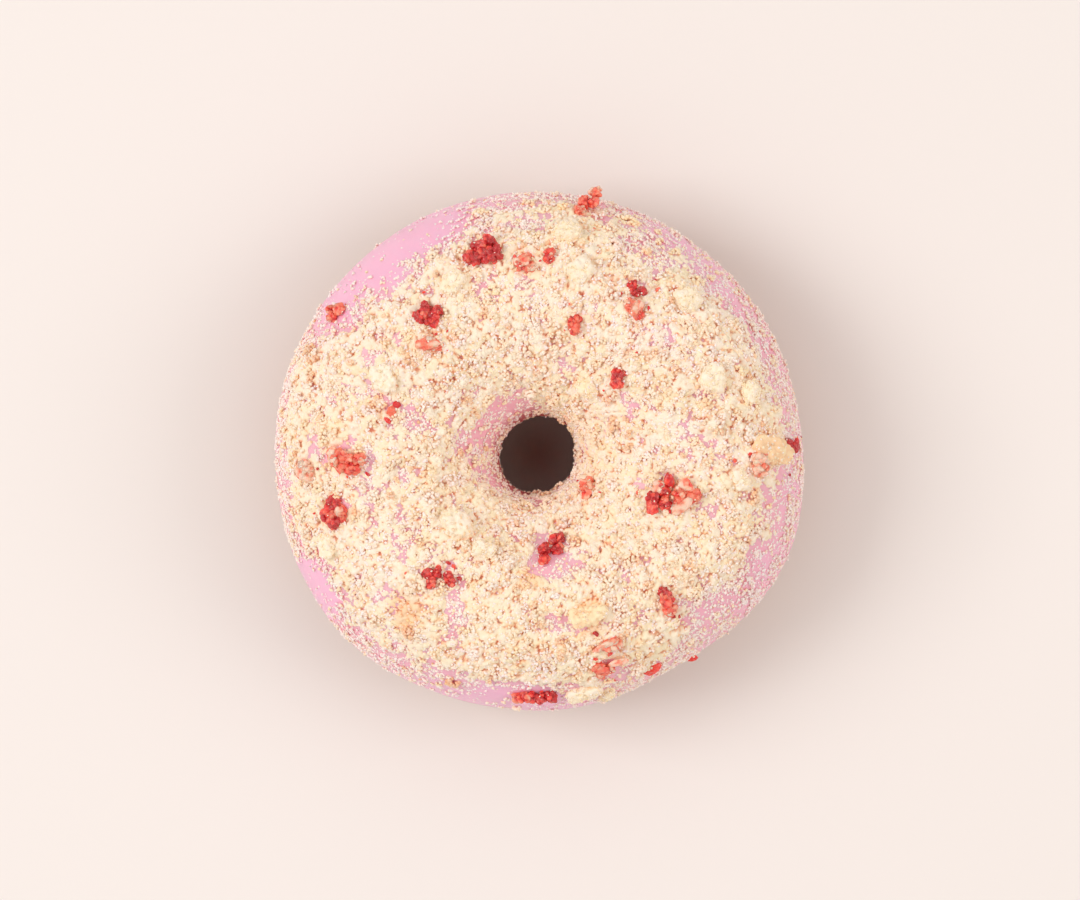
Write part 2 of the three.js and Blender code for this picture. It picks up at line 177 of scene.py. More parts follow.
RIM_COVER = (42.5, 47.4)
PATCH_COVER = (0.5, 1.3)
LEAST_COVER = 0.02
# Patches that are nearly clear of crumbs: around, radius, half-widths in degrees and mm, how bare.
BARE_PATCHES = (
    (128, 45.5, 26, 7, 1),
    (165, 9.6, 80, 4, 1),
    (45, 46.5, 28, 5.5, 0.8),
    (2, 47.5, 30, 5, 0.8),
    (322, 46.5, 18, 6, 0.75),
    (268, 46.5, 22, 4.5, 0.9),
    (240, 47.5, 18, 4, 0.9),
    (212, 47, 10, 5, 1),
    (278, 18.4, 13, 4, 0.9),
    (316, 39.7, 6, 2.5, 0.8),
    (288, 40.5, 5, 3, 0.7),
    (224, 37.3, 4, 3, 0.8),
    (218, 31, 5, 2, 0.7),
    (193, 24.3, 6, 2.8, 0.8),
    (175, 34.2, 4, 3, 0.8),
    (152, 34.6, 4, 2.5, 0.6),
    (3, 29.4, 4, 3, 0.7),
    (28, 18.3, 8, 2.5, 0.7),
    (76, 14.9, 12, 2, 0.6),
)


def smoothstep(x, low, high):
    """0 up to low, 1 from high, and 3t^2 - 2t^3 between them."""
    t = np.clip((x - low) / (high - low), 0, 1)
    return t * t * (3 - 2 * t)


def ripple(waves, around):
    """The sum of amount * cos(count * (around - towards)) over the waves."""
    return sum(a * np.cos(n * (around - math.radians(t))) for n, a, t in waves)


def dough_point(around, across):
    """A superellipse section, |c|^n + |s|^n = 1, carried round the ring and cut flat at the base."""
    c, s = np.cos(across), np.sin(across)
    n = np.where(s > 0, CROWN_ROUNDNESS, BELLY_ROUNDNESS)
    reach = (np.abs(c) ** n + np.abs(s) ** n) ** (-1 / n)
    rise = np.where(s > 0, CROWN_RISE + ripple(CROWN_WAVES, around), BELLY_DROP)
    ca, sa = np.cos(around), np.sin(around)
    outer = RIM_RADIUS + ripple(RIM_WAVES, around)
    stretch = HOLE_STRETCH[0] * np.cos(2 * (around - math.radians(HOLE_STRETCH[1])))
    inner = HOLE_RADIUS + HOLE_SHIFT[0] * ca + HOLE_SHIFT[1] * sa + stretch
    radius = (outer + inner) / 2 + (outer - inner) / 2 * reach * c
    height = np.maximum(0, WAIST_HEIGHT + rise * reach * s)
    return np.stack([radius * ca, radius * sa, height + 0 * around], -1)


def unit(v):
    """The vectors at length 1."""
    return v / np.maximum(np.linalg.norm(v, axis=-1, keepdims=True), 1e-12)


def dough_normal(around, across):
    """The cross product of the two tangents, each from points a small step apart."""
    ring = dough_point(around + STEP, across) - dough_point(around - STEP, across)
    section = dough_point(around, across + STEP) - dough_point(around, across - STEP)
    return unit(np.cross(ring, section))


def lifted(around, across, lift):
    """The dough's surface moved out along its normal by lift."""
    lift = np.asarray(lift)[..., None]
    return dough_point(around, across) + dough_normal(around, across) * lift


def radius_of(points):
    """How far points lie from the middle of the hole as seen from above."""
    return np.hypot(points[..., 0], points[..., 1])


def angle_of(points):
    """The angle around at which points lie."""
    return np.arctan2(points[..., 1], points[..., 0])


def icing_top(around, across):
    """The icing's top face: the dough's surface moved out by the gap and the icing's thickness."""
    return lifted(around, across, ICING_TOP)


def icing_edges(around):
    """The two angles across at which the icing ends: a base angle plus the edge waves."""
    wave = ripple(EDGE_WAVES, around)
    outer = np.radians(ICING_OUTER_EDGE + wave)
    inner = np.radians(ICING_HOLE_EDGE + wave * HOLE_EDGE_WAVES)
    return outer, inner


def icing_across(around, share):
    """A share of the way from the outer edge, over the crown, to the edge in the hole."""
    outer, inner = icing_edges(around)
    return outer + (inner - outer) * share


def place_on_icing(around, radius):
    """The angle across at which the icing's top is that far from the middle, by halving."""
    low, high = 0 * around, 0 * around + math.pi
    for _ in range(HALVINGS):
        middle = (low + high) / 2
        outside = radius_of(lifted(around, middle, ICING_THICKNESS)) > radius
        low = np.where(outside, middle, low)
        high = np.where(outside, high, middle)
    return low


def patches(points, spots):
    """1 where crumbs lie thickly, falling towards 0 in each bare patch."""
    radius, around = radius_of(points), angle_of(points)
    share = np.ones_like(radius)
    for a, r, wide, deep, bare in spots:
        turned = np.angle(np.exp(1j * (around - math.radians(a))))
        distance = np.hypot(turned / math.radians(wide), (radius - r) / deep)
        share = share * (1 - bare * (1 - smoothstep(distance, *PATCH_COVER)))
    return share


def cover(points):
    """The patches, and less and less crumb towards the rim."""
    return patches(points, BARE_PATCHES) * (1 - smoothstep(radius_of(points), *RIM_COVER))


# ---- Noise ----------------------------------------------------------------------------------------------


LATTICE_SHIFT = 1000  # keeps every place in the lattice above 0
GRAIN_REACH = 0.8  # how far from its middle a grain ends, in steps of the lattice


def lattice(i, j, k, seed):
    """A number from 0 to 1 at each whole-number place, from multiplied and folded bits."""
    h = i * 73856093 ^ j * 19349663 ^ k * 83492791 ^ (seed * 2654435761 + 12345)
    h = h & 0xFFFFFFFF
    h = (h ^ (h >> 15)) * 2246822519 & 0xFFFFFFFF
    h = (h ^ (h >> 13)) * 3266489917 & 0xFFFFFFFF
    return ((h ^ (h >> 16)) & 0xFFFFFF) / 0xFFFFFF


def noise(points, size, seed):
    """Value noise from -1 to 1: lattice numbers size mm apart, blended smoothly between."""
    q = points / size + LATTICE_SHIFT
    base = np.floor(q).astype(np.int64)
    f = q - base
    f = f * f * (3 - 2 * f)
    total = 0
    for step in product((0, 1), repeat=3):
        x, y, z = (f[..., n] if step[n] else 1 - f[..., n] for n in range(3))
        i, j, k = (base[..., n] + step[n] for n in range(3))
        total = total + x * y * z * lattice(i, j, k, seed)
    return total * 2 - 1


def fractal(points, size, seed, octaves=3):
    """Noise plus half as much at half the size, and so on, brought back to about -1 to 1."""
    total, weight = 0, 0
    for n in range(octaves):
        total = total + noise(points, size / 2**n, seed + n) / 2**n
        weight += 1 / 2**n
    return total / weight * 1.35


def grains(points, size, seed):
    """Cellular relief: 1 at the middle of each grain, falling to 0 at its reach, one random middle to
    each lattice cube, with the grain's own random number beside it."""
    q = points / size + LATTICE_SHIFT
    base = np.floor(q).astype(np.int64)
    nearest = np.full(q.shape[:-1], 9.0)
    own = np.zeros(q.shape[:-1])
    for step in product((-1, 0, 1), repeat=3):
        cube = [base[..., n] + step[n] for n in range(3)]
        middle = np.stack([cube[n] + lattice(*cube, seed + n) for n in range(3)], -1)
        d = np.linalg.norm(q - middle, axis=-1)
        closer = d < nearest
        nearest = np.where(closer, d, nearest)
        own = np.where(closer, lattice(*cube, seed + 3), own)
    return np.clip(1 - nearest / GRAIN_REACH, 0, 1), own


def dome(grain):
    """A grain's cone as a round dome about 0: its root, less the usual height."""
    return np.sqrt(grain) - 0.55


# ---- Meshes ---------------------------------------------------------------------------------------------


def add_mesh(name, points, faces, smooth, tint=None):
    """A mesh from arrays: points in mm, faces with one width, and a colour for each point."""
    mesh = bpy.data.meshes.new(name)
    points = np.asarray(points, np.float32).reshape(-1, 3) * MM
    faces = np.asarray(faces, np.int32)
    count, width = faces.shape
    mesh.vertices.add(len(points))
    mesh.vertices.foreach_set("co", points.ravel())
    mesh.loops.add(count * width)
    mesh.loops.foreach_set("vertex_index", faces.ravel())
    mesh.polygons.add(count)
    mesh.polygons.foreach_set("loop_start", np.arange(0, count * width, width, dtype=np.int32))
    mesh.polygons.foreach_set("loop_total", np.full(count, width, np.int32))
    mesh.polygons.foreach_set("use_smooth", np.full(count, smooth))
    if tint is not None:
        colour = mesh.attributes.new("tint", "FLOAT_COLOR", "POINT")
        opaque = np.ones((len(points), 4), np.float32)
        opaque[:, :3] = tint
        colour.data.foreach_set("color", opaque.ravel())
    mesh.update(calc_edges=True)
    mesh.validate()
    obj = bpy.data.objects.new(name, mesh)
    bpy.context.scene.collection.objects.link(obj)
    return obj


def closed_grid_faces(rows, columns):
    """Quads between neighbouring rows and columns, each way round closing on itself."""
    i, j = np.meshgrid(np.arange(rows), np.arange(columns), indexing="ij")
    ni, nj = (i + 1) % rows, (j + 1) % columns
    quads = np.stack([i * columns + j, i * columns + nj, ni * columns + nj, ni * columns + j], -1)
    return quads.reshape(-1, 4)


def ring_grid(shares, columns):
    """The angle around and the share for each point of a grid."""
    around = np.arange(columns) / columns * TURN
    return np.meshgrid(around, shares)


def eased(count, ease):
    """Shares from 0 to 1 that crowd towards both ends by the cosine rule, as much as ease says."""
    t = np.linspace(0, 1, count)
    return (1 - ease) * t + ease * (0.5 - 0.5 * np.cos(t * math.pi))


def icosphere(level):
    """A twenty-faced ball whose faces are split in four, level times, and pushed out to radius 1."""
    g = (1 + 5**0.5) / 2
    points = np.array(
        [(-1, g, 0), (1, g, 0), (-1, -g, 0), (1, -g, 0), (0, -1, g), (0, 1, g)]
        + [(0, -1, -g), (0, 1, -g), (g, 0, -1), (g, 0, 1), (-g, 0, -1), (-g, 0, 1)],
        float,
    )
    faces = np.array(
        [(0, 11, 5), (0, 5, 1), (0, 1, 7), (0, 7, 10), (0, 10, 11), (1, 5, 9), (5, 11, 4)]
        + [(11, 10, 2), (10, 7, 6), (7, 1, 8), (3, 9, 4), (3, 4, 2), (3, 2, 6), (3, 6, 8)]
        + [(3, 8, 9), (4, 9, 5), (2, 4, 11), (6, 2, 10), (8, 6, 7), (9, 8, 1)]
    )
    for _ in range(level):
        edges = np.sort(np.concatenate([faces[:, [0, 1]], faces[:, [1, 2]], faces[:, [2, 0]]]), axis=1)
        single, where = np.unique(edges, axis=0, return_inverse=True)
        ab, bc, ca = np.split(where.ravel() + len(points), 3)
        points = np.concatenate([points, points[single].mean(axis=1)])
        a, b, c = faces.T
        corners = [(a, ab, ca), (b, bc, ab), (c, ca, bc), (ab, bc, ca)]
        faces = np.concatenate([np.stack(t, -1) for t in corners])
    return unit(points), faces


TETRAHEDRON = (
    np.array([(1, 1, 1), (1, -1, -1), (-1, 1, -1), (-1, -1, 1)], float) * 0.75,
    np.array([(0, 1, 2), (0, 3, 1), (0, 2, 3), (1, 3, 2)]),
)
CURD = icosphere(0)


def axes_at(around, across, turn, tip):
    """Three axes for a thing that lies on the icing: X turned from +X as seen from above, Z out of the
    icing, and then both turned about Y by tip."""
    out = dough_normal(around, across)
    flat = np.stack([np.cos(turn), np.sin(turn), 0 * turn], -1)
    side = unit(np.cross(out, flat))
    along = np.cross(side, out)
    c, s = np.cos(tip)[..., None], np.sin(tip)[..., None]
    return np.stack([along * c + out * s, side, out * c - along * s], -1)


def spun(axes, rng, most):
    """The axes turned about a random line by up to the given angle, by the rule v cos t + (k x v) sin t
    + k (k.v)(1 - cos t)."""
    n = len(axes)
    k = unit(rng.normal(size=(n, 3)))[:, :, None]
    t = rng.uniform(0, most, n)[:, None, None]
    cross = np.cross(k, axes, axis=1)
    dot = (k * axes).sum(axis=1, keepdims=True)
    return axes * np.cos(t) + cross * np.sin(t) + k * dot * (1 - np.cos(t))


def turned(centres, axes, local):
    """Each thing's own points, turned by its axes and moved to its centre."""
    return centres[:, None, :] + np.einsum("nij,nvj->nvi", axes, local)


def repeated(faces, count, corners):
    """A shape's faces once for each of its copies, which have that many corners."""
    return (faces[None] + (np.arange(count) * corners)[:, None, None]).reshape(-1, faces.shape[1])


def strew(shape, centres, axes, sizes, rng, roughness):
    """One copy of the shape for each centre: the shape's points, each pushed in or out at random, times
    the size along each axis. Gives points (copies, corners, 3) and the joined faces."""
    points, faces = shape
    n, corners = len(centres), len(points)
    push = 1 + rng.uniform(-roughness, roughness, (n, corners, 1))
    local = points[None] * push * sizes[:, None, :]
    return turned(centres, axes, local), repeated(faces, n, corners)


def drawn(rng, count, *ranges):
    """Random numbers from each range, a column for each."""
    return np.stack([rng.uniform(*r, count) for r in ranges], -1)


def mostly_small(rng, count, low, high):
    """Random sizes from low to high, by a random share to a power, so that more of them are small."""
    return low + (high - low) * rng.uniform(0, 1, count) ** 1.6


def half_sizes(rng, length, *ranges):
    """Half of each length, and of a width and a height that are random shares of it."""
    shares = np.column_stack([np.ones(len(length)), drawn(rng, len(length), *ranges)])
    return length[:, None] * shares / 2


def scattered(rng, count, density):
    """Random places on the icing, uniform by area and kept with the given density, and clear of the balls
    in KEEP_OUT (middles, radii): angles around and across."""
    kept, have = [[], []], 0
    while have < count:
        around = rng.uniform(0, TURN, THROWS)
        across = np.radians(rng.uniform(*THROWN_BETWEEN, THROWS))
        points = icing_top(around, across)
        a = np.linalg.norm(icing_top(around + STEP, across) - points, axis=-1)
        b = np.linalg.norm(icing_top(around, across + STEP) - points, axis=-1)
        keep = rng.uniform(0, MOST_AREA, THROWS) < a * b / STEP**2 * density(around, across, points)
        for middle, radius in zip(*KEEP_OUT):
            keep &= np.linalg.norm(points - middle, axis=-1) > radius
        kept[0].append(around[keep])
        kept[1].append(across[keep])
        have += int(keep.sum())
    return [np.concatenate(k)[:count] for k in kept]


# ---- How the crumbs lie ---------------------------------------------------------------------------------

HOLE_WALL = (9.5, 14)
# Patches with fewer crumbs as they show: the small ones and those at the rim still hold some, and more
# bands near the rim hold mostly dust.
SMALL_PATCH = 4.1
NEAR_RIM = 45.0
THIN_PATCHES = [
    (a, r, wide, deep, bare * (0.5 if deep < SMALL_PATCH else 0.55 if r > NEAR_RIM and bare <= 0.8 else 1))
    for a, r, wide, deep, bare in BARE_PATCHES
] + [
    (58, 44.0, 24, 6.0, 0.4),
    (342, 44.5, 16, 5.0, 0.35),
    (313, 44.0, 18, 6.5, 0.15),
    (100, 46.5, 16, 5.0, 0.4),
    (255, 46.5, 22, 4.5, 0.4),
]
STRAY = 1.9
BED_END = 48.6


def by_hole(points):
    """1 on the hole's wall and 0 outside it."""
    return 1 - smoothstep(radius_of(points), *HOLE_WALL)


def slope_share(around, across, power):
    """What stays on a slope: the upright part of the surface's normal, to a power. The hole's wall
    holds some too."""
    upright = dough_normal(around, across)[..., 2]
    return np.clip(np.maximum(upright, 0.55 * by_hole(icing_top(around, across))), 0, 1) ** power


def strewn(points):
    """The thin patches, read at points moved sideways by noise, so that their edges are ragged."""
    shift = [STRAY * fractal(points, 6.0, seed, 3) for seed in (21, 25)]
    return patches(points + np.stack([*shift, 0 * shift[0]], -1), THIN_PATCHES)


def rim_fall(points):
    """Fewer crumbs towards the rim: the bed ends farthest out on the left and 1.6 mm less on the right."""
    edge = BED_END - 0.8 * (1 + np.cos(angle_of(points) + 0.2))
    return 1 - smoothstep(radius_of(points), edge - 4, edge + 1)


def bed_depth(around, across, points):
    """How deep crumbs lie over the icing's top, in mm: below 0 where the icing is bare. They are thrown
    unevenly, by noise 5 mm across and finer."""
    upright = smoothstep(dough_normal(around, across)[..., 2], 0.05, 0.6)
    lying = strewn(points) * np.maximum(upright, 0.72 * by_hole(points)) * rim_fall(points)
    return -1.2 + 1.7 * lying + 0.85 * fractal(points, 5.0, 31, 3) * smoothstep(lying, 0.0, 0.5)


def bed_at(around, across):
    """How deep crumbs lie at a place, and 0 where the icing is bare."""
    return np.maximum(bed_depth(around, across, icing_top(around, across)), 0)


def heaped(around, across, points):
    """From 0 where crumbs are few to 1 where they are heaped."""
    return smoothstep(bed_depth(around, across, points), -0.6, 0.3)


def drifting(bare, power, slope, noise_rule, edges, between, heaps, least, inside=1.0):
    """A density for crumbs in drifts. It is a power of the thin patches, with a share left in the bare
    ones, times the slope's share, times noise (its size and seed) with a share left between the drifts.
    The heaps take away a share. Far inside the rim only a share lies. It never falls below least."""

    def density(around, across, points):
        lying = (bare + (1 - bare) * strewn(points) ** power) * slope_share(around, across, slope)
        lying = lying * (inside + (1 - inside) * smoothstep(radius_of(points), 30, 38))
        uneven = between + (1 - between) * smoothstep(fractal(points, *noise_rule), *edges)
        return np.clip(lying * uneven * (1 - heaps * heaped(around, across, points)), least, 1)

    return density


fine_density = drifting(0.02, 0.8, 0.5, (2.6, 37), (-0.4, 0.5), 0.12, 0.65, 0.004)
dust_density = drifting(0.03, 0.7, 0.5, (2.2, 39), (-0.2, 0.5), 0.1, 0.8, 0.008)
rim_density = drifting(0.04, 0.8, 0.45, (3.4, 43), (-0.5, 0.5), 0.1, 0.85, 0.002, inside=0.3)


def coarse_density(around, across, points):
    """Clumps lie where the rest is heaped, and few elsewhere."""
    return strewn(points) * slope_share(around, across, 0.9) * (0.22 + 0.78 * heaped(around, across, points))


# ---- Colours --------------------------------------------------------------------------------------------


def srgb(r, g, b):
    """A colour as a screen shows it, 0 to 255, to linear light."""
    c = np.array([r, g, b]) / 255
    return np.where(c <= 0.04045, c / 12.92, ((c + 0.055) / 1.055) ** 2.4)


CREAM = srgb(254, 238, 211)
YELLOW_CREAM = srgb(255, 237, 198)
PALE_CREAM = srgb(255, 248, 243)
ROSY_CREAM = srgb(255, 239, 238)
TOASTED = srgb(253, 215, 174)
BROWNED = srgb(240, 182, 138)
# painted shade for the crevices between heaped crumbs
CREVICE_PAINTED_SHADE = srgb(228, 142, 112)
UNDERSIDE_PAINTED_SHADE = np.array([1.0, 0.81, 0.72])  # painted shade: what the underside of each crumb keeps of its colour
BARE_PINK = srgb(248, 190, 217)
# pink with painted warm shade, for where crumbs lie
PINK_SHADED_BY_CRUMBS = srgb(249, 184, 200)
THIN_EDGE_AND_HOLE_SHADE = np.array([0.68, 0.28, 0.25])  # icing darker down the hole: partly thin enough for the crust to show through, partly painted shade in the hole
DEEP_RED = srgb(220, 37, 43)
RED = srgb(251, 76, 62)
CORAL = srgb(255, 126, 100)
SALMON = srgb(255, 178, 148)
PALE_SALMON = srgb(255, 210, 188)


def blend(stops, amount):
    """Colours at even steps from 0 to 1, mixed in a straight line between neighbours."""
    stops = np.asarray(stops)
    at = np.linspace(0, 1, len(stops))
    return np.stack([np.interp(amount, at, stops[:, i]) for i in range(3)], -1)


# Where the crumbs are golden: x, y and radius.
GOLDEN = ((8.7, -29.0, 4.0), (-23.4, -27.8, 3.6), (-13.5, -13.5, 2.4), (-2.0, -22.0, 3.0))


def golden(points):
    """1 in the middle of the golden spots and 0 outside them."""
    share = 0
    for x, y, size in GOLDEN:
        away = np.hypot(points[..., 0] - x, points[..., 1] - y)
        away = away + 1.2 * noise(points, 2.0, 33)
        share = np.maximum(share, 1 - smoothstep(away, 0.35 * size, 1.1 * size))
    return share


def browner(tint, points):
    """The tints passing to toasted in the golden spots, and elsewhere drifting between yellower and
    rosier by noise 10 mm across."""
    drift = np.clip(0.5 + 0.5 * fractal(points, 10.0, 34, 2), 0, 1)
    tint = tint * (0.8 + 0.2 * blend([YELLOW_CREAM, CREAM, ROSY_CREAM], drift) / CREAM)
    share = 0.55 * golden(points)[..., None]
    return np.minimum(tint * (1 - share) + tint * TOASTED * share, 0.99)


def crumb_tints(rng, count, toasted_share, pale=0.0):
    """Mostly cream, with a share of toasted and browned crumbs, each a little lighter or darker. The
    share pale of them is whitish."""
    tint = blend([YELLOW_CREAM, CREAM, PALE_CREAM, CREAM], rng.uniform(0, 1, count))
    whitish = blend([PALE_CREAM, ROSY_CREAM], rng.uniform(0, 1, count))
    tint = np.where((rng.uniform(0, 1, count) < pale)[:, None], whitish, tint)
    toasted = rng.uniform(0, 1, count) < toasted_share
    browned = blend([TOASTED, BROWNED], rng.uniform(0, 1, count) ** 2)
    tint = np.where(toasted[:, None], browned, tint)
    return np.minimum(tint * rng.uniform(0.94, 1.03, count)[:, None], 0.99)


# ---- Pieces ---------------------------------------------------------------------------------------------

DOUGH_COLUMNS, ICING_COLUMNS, INNER_ROWS = 440, 560, 8
ICING_REACH = 62.0  # mm over the icing from one edge to the other
LIP_RADIUS = 1.7
ICING_SUNK = 0.4
BED_SUNK = 0.9
# The crumb bed in bands: name, the shares between which it lies, rows and columns.
BED_BANDS = (
    ("crumb_bed_outer", 0.05, 0.336, 80, 1100),
    ("crumb_bed_middle", 0.324, 0.626, 88, 1000),
    ("crumb_bed_inner", 0.614, 0.97, 125, 720),
)
LONG_END, SHORT_END = 0.03, 0.006  # shares over which a band dives, at the icing's edges and between bands


def make_dough():
    """The ring's surface, rows close together where it shows. Low swells, fine wrinkles and a few
    blisters push it in and out, and nothing goes below the plate."""
    around, share = ring_grid(np.linspace(0, 1, 24), DOUGH_COLUMNS)
    around_bare, share_bare = ring_grid(np.linspace(0, 1, 112)[1:-1], DOUGH_COLUMNS)
    outer, inner = icing_edges(around_bare)
    across = np.concatenate([icing_across(around, share), inner + (outer + TURN - inner) * share_bare])
    around = np.concatenate([around, around_bare])
    base = dough_point(around, across)
    shows = np.concatenate([0 * share, np.sin(share_bare * math.pi) ** 0.3])
    blister, own = grains(base, 7.0, 51)
    blister = np.where(own > 0.75, smoothstep(blister, 0.55, 0.95), 0)
    push = 0.22 * fractal(base, 14, 41, 2) + 0.09 * fractal(base, 2.6, 44, 3) + 0.3 * blister
    moved = base + dough_normal(around, across) * (push * shows)[..., None]
    crinkled = np.maximum(0, 0.25 * fractal(base, 3.0, 47, 3) - 0.05)
    moved[..., 2] = np.where(base[..., 2] < 0.02, crinkled, np.maximum(moved[..., 2], 0))
    return add_mesh("fried_dough", moved, closed_grid_faces(len(around), DOUGH_COLUMNS), True)


def icing_lift(around, across, share):
    """How far the icing's outer face stands off the dough: full thickness with a low swell, a bead above
    each edge, and a quarter-round lip down to the dough at the edge itself."""
    from_edge = np.minimum(share, 1 - share) * ICING_REACH
    lip = np.sqrt(np.clip(1 - (1 - np.clip(from_edge / LIP_RADIUS, 0, 1)) ** 2, 0, 1))
    bead = ICING_BEAD * np.exp(-(((from_edge - 2.6) / 2.0) ** 2))
    swell = 0.14 * fractal(dough_point(around, across), 13, 61, 2)
    return (ICING_TOP + bead + swell) * lip - 0.25 * (1 - lip)


def make_icing():
    """The skin of icing: its outer face row by row, and an inner face that is sunk in the dough."""
    around, share = ring_grid(eased(100, 1), ICING_COLUMNS)
    wobble = 0.7 * fractal(dough_point(around, 0 * around), 6, 65, 2)
    edge_pull = np.radians(wobble) * (1 - 2 * share)
    across = icing_across(around, share) + edge_pull * (np.abs(1 - 2 * share) > 0.5)
    outside = lifted(around, across, icing_lift(around, across, share))
    around_in, share_in = ring_grid(np.linspace(0.985, 0.015, INNER_ROWS), ICING_COLUMNS)
    across_in = icing_across(around_in, share_in)
    rows = np.concatenate([outside, lifted(around_in, across_in, -ICING_SUNK)])
    # Painted shade: the pink turns warmer and a little darker where crumbs lie thickly and down the hole.
    crumb_and_hole_shade = np.maximum(smoothstep(strewn(rows), 0.1, 0.7), 0.6 * by_hole(rows))
    tint = blend([BARE_PINK, PINK_SHADED_BY_CRUMBS], crumb_and_hole_shade.ravel())
    # Down the hole the icing darkens: partly thin icing over the crust, partly painted shade.
    thin = smoothstep(np.degrees(np.concatenate([across, across_in])), 150, 176)
    tint = tint * (1 + (THIN_EDGE_AND_HOLE_SHADE - 1) * thin.reshape(-1, 1))
    return add_mesh("icing", rows, closed_grid_faces(len(rows), ICING_COLUMNS), True, tint)


def make_crumb_bed(name, first, last, rows, columns):
    """Fine crumbs that lie heaped together, one band of them: the bed's depth over the icing, plus
    clumps 1.9 mm apart that are made of lobes 0.72 mm apart. Each is a dome, the root of a cone. The
    bed comes out of the icing only where crumbs lie thickly, and a band's ends dive under the next."""
    around, share = ring_grid(np.linspace(first, last, rows), columns)
    across = icing_across(around, share)
    points = icing_top(around, across)
    rng = np.random.default_rng(71)
    bent = points + 0.35 * np.stack([noise(points, 1.1, seed) for seed in (73, 74, 75)], -1)
    clump, own = grains(bent, 1.9, 72)
    lobe, own_lobe = grains(points, 0.72, 76)
    thin = 1 - heaped(around, across, points)
    heaps = (0.95 - 0.45 * thin) * dome(clump) * (0.3 + own)
    lobes = (0.62 + 0.22 * thin) * dome(lobe) * (0.4 + own_lobe)
    relief = heaps + lobes + rng.uniform(-0.04, 0.04, around.shape)
    start = LONG_END if first == BED_BANDS[0][1] else SHORT_END
    end = LONG_END if last == BED_BANDS[-1][2] else SHORT_END
    ends = smoothstep(share - first, 0, start) * smoothstep(last - share, 0, end)
    depth = (bed_depth(around, across, points) + relief) * ends - BED_SUNK * (1 - ends)
    slide = rng.uniform(-0.05, 0.05, around.shape + (3,))
    outside = lifted(around, across, ICING_TOP + np.maximum(depth, -BED_SUNK)) + slide
    around_in, share_in = ring_grid(np.linspace(last - 0.002, first + 0.002, INNER_ROWS), columns)
    inside = lifted(around_in, icing_across(around_in, share_in), ICING_TOP - 1.2)
    faces = closed_grid_faces(rows + INNER_ROWS, columns)
    # Painted shade: the bed's tint falls from cream through toasted to a reddish crevice colour where its
    # relief is low.
    height = np.clip(0.52 + 0.6 * heaps + 1.7 * lobes + 0.12 * (own_lobe - 0.5), 0, 1)
    tint = blend([CREVICE_PAINTED_SHADE, TOASTED, CREAM, CREAM, CREAM], height)
    tone = 0.7 + 0.3 * blend([YELLOW_CREAM, CREAM, ROSY_CREAM, PALE_CREAM], own) / CREAM
    tint = browner(np.minimum(tint * tone, 0.98), points)
    tint = np.concatenate([tint, np.broadcast_to(CREAM, inside.shape)])
    return add_mesh(name, np.concatenate([outside, inside]), faces, True, tint.reshape(-1, 3))


def nearest_angles(points):
    """Roughly the angles around and across at which a point lies over the ring."""
    middle = (RIM_RADIUS + HOLE_RADIUS) / 2
    return angle_of(points), np.arctan2(points[:, 2] - WAIST_HEIGHT, radius_of(points) - middle)


def crumb_set(centres, axes, sizes, tints, out):
    """Crumbs of one kind before they become a mesh, by the names of what each has."""
    return {"centres": centres, "axes": axes, "sizes": sizes, "tints": tints, "out": out}


def together(*several):
    """Sets of crumbs as one set."""
    return {key: np.concatenate([s[key] for s in several]) for key in several[0]}


def loose(rng, count, sizes, flat, density, toasted_share, most_turn, pale):
    """Crumbs strewn by a density over the icing or the bed. Each has a random length, a width and height
    that are shares of it, and a random turn."""
    around, across = scattered(rng, count, density)
    turn = rng.uniform(0, TURN, count)
    axes = spun(axes_at(around, across, turn, 0 * turn), rng, most_turn)
    size = half_sizes(rng, mostly_small(rng, count, *sizes), (0.6, 0.95), flat)
    lift = ICING_TOP + bed_at(around, across) * rng.uniform(0.75, 1.35, count) + size[:, 2] * 0.35
    tint = crumb_tints(rng, count, toasted_share, pale)
    return crumb_set(lifted(around, across, lift), axes, size, tint, dough_normal(around, across))


def stuck(obj, rng, count, sizes, stops):
    """Crumbs stuck to a piece: at random ones of its points whose normals look up."""
    mesh = obj.data
    points, normals = np.empty((2, len(mesh.vertices) * 3))
    mesh.vertices.foreach_get("co", points)
    mesh.vertices.foreach_get("normal", normals)
    points, normals = points.reshape(-1, 3) / MM, normals.reshape(-1, 3)
    chosen = rng.choice(np.flatnonzero(normals[:, 2] > 0.25), count)
    out = normals[chosen]
    side = unit(np.cross(out, rng.normal(size=(count, 3))))
    axes = np.stack([np.cross(side, out), side, out], -1)
    length = rng.uniform(*sizes, count)
    size = half_sizes(rng, length, (0.6, 0.95), (0.5, 0.85))
    tint = blend(stops, rng.uniform(0, 1, count)) * rng.uniform(0.95, 1.0, (count, 1))
    return crumb_set(points[chosen] + out * length[:, None] * 0.12, axes, size, tint, out)


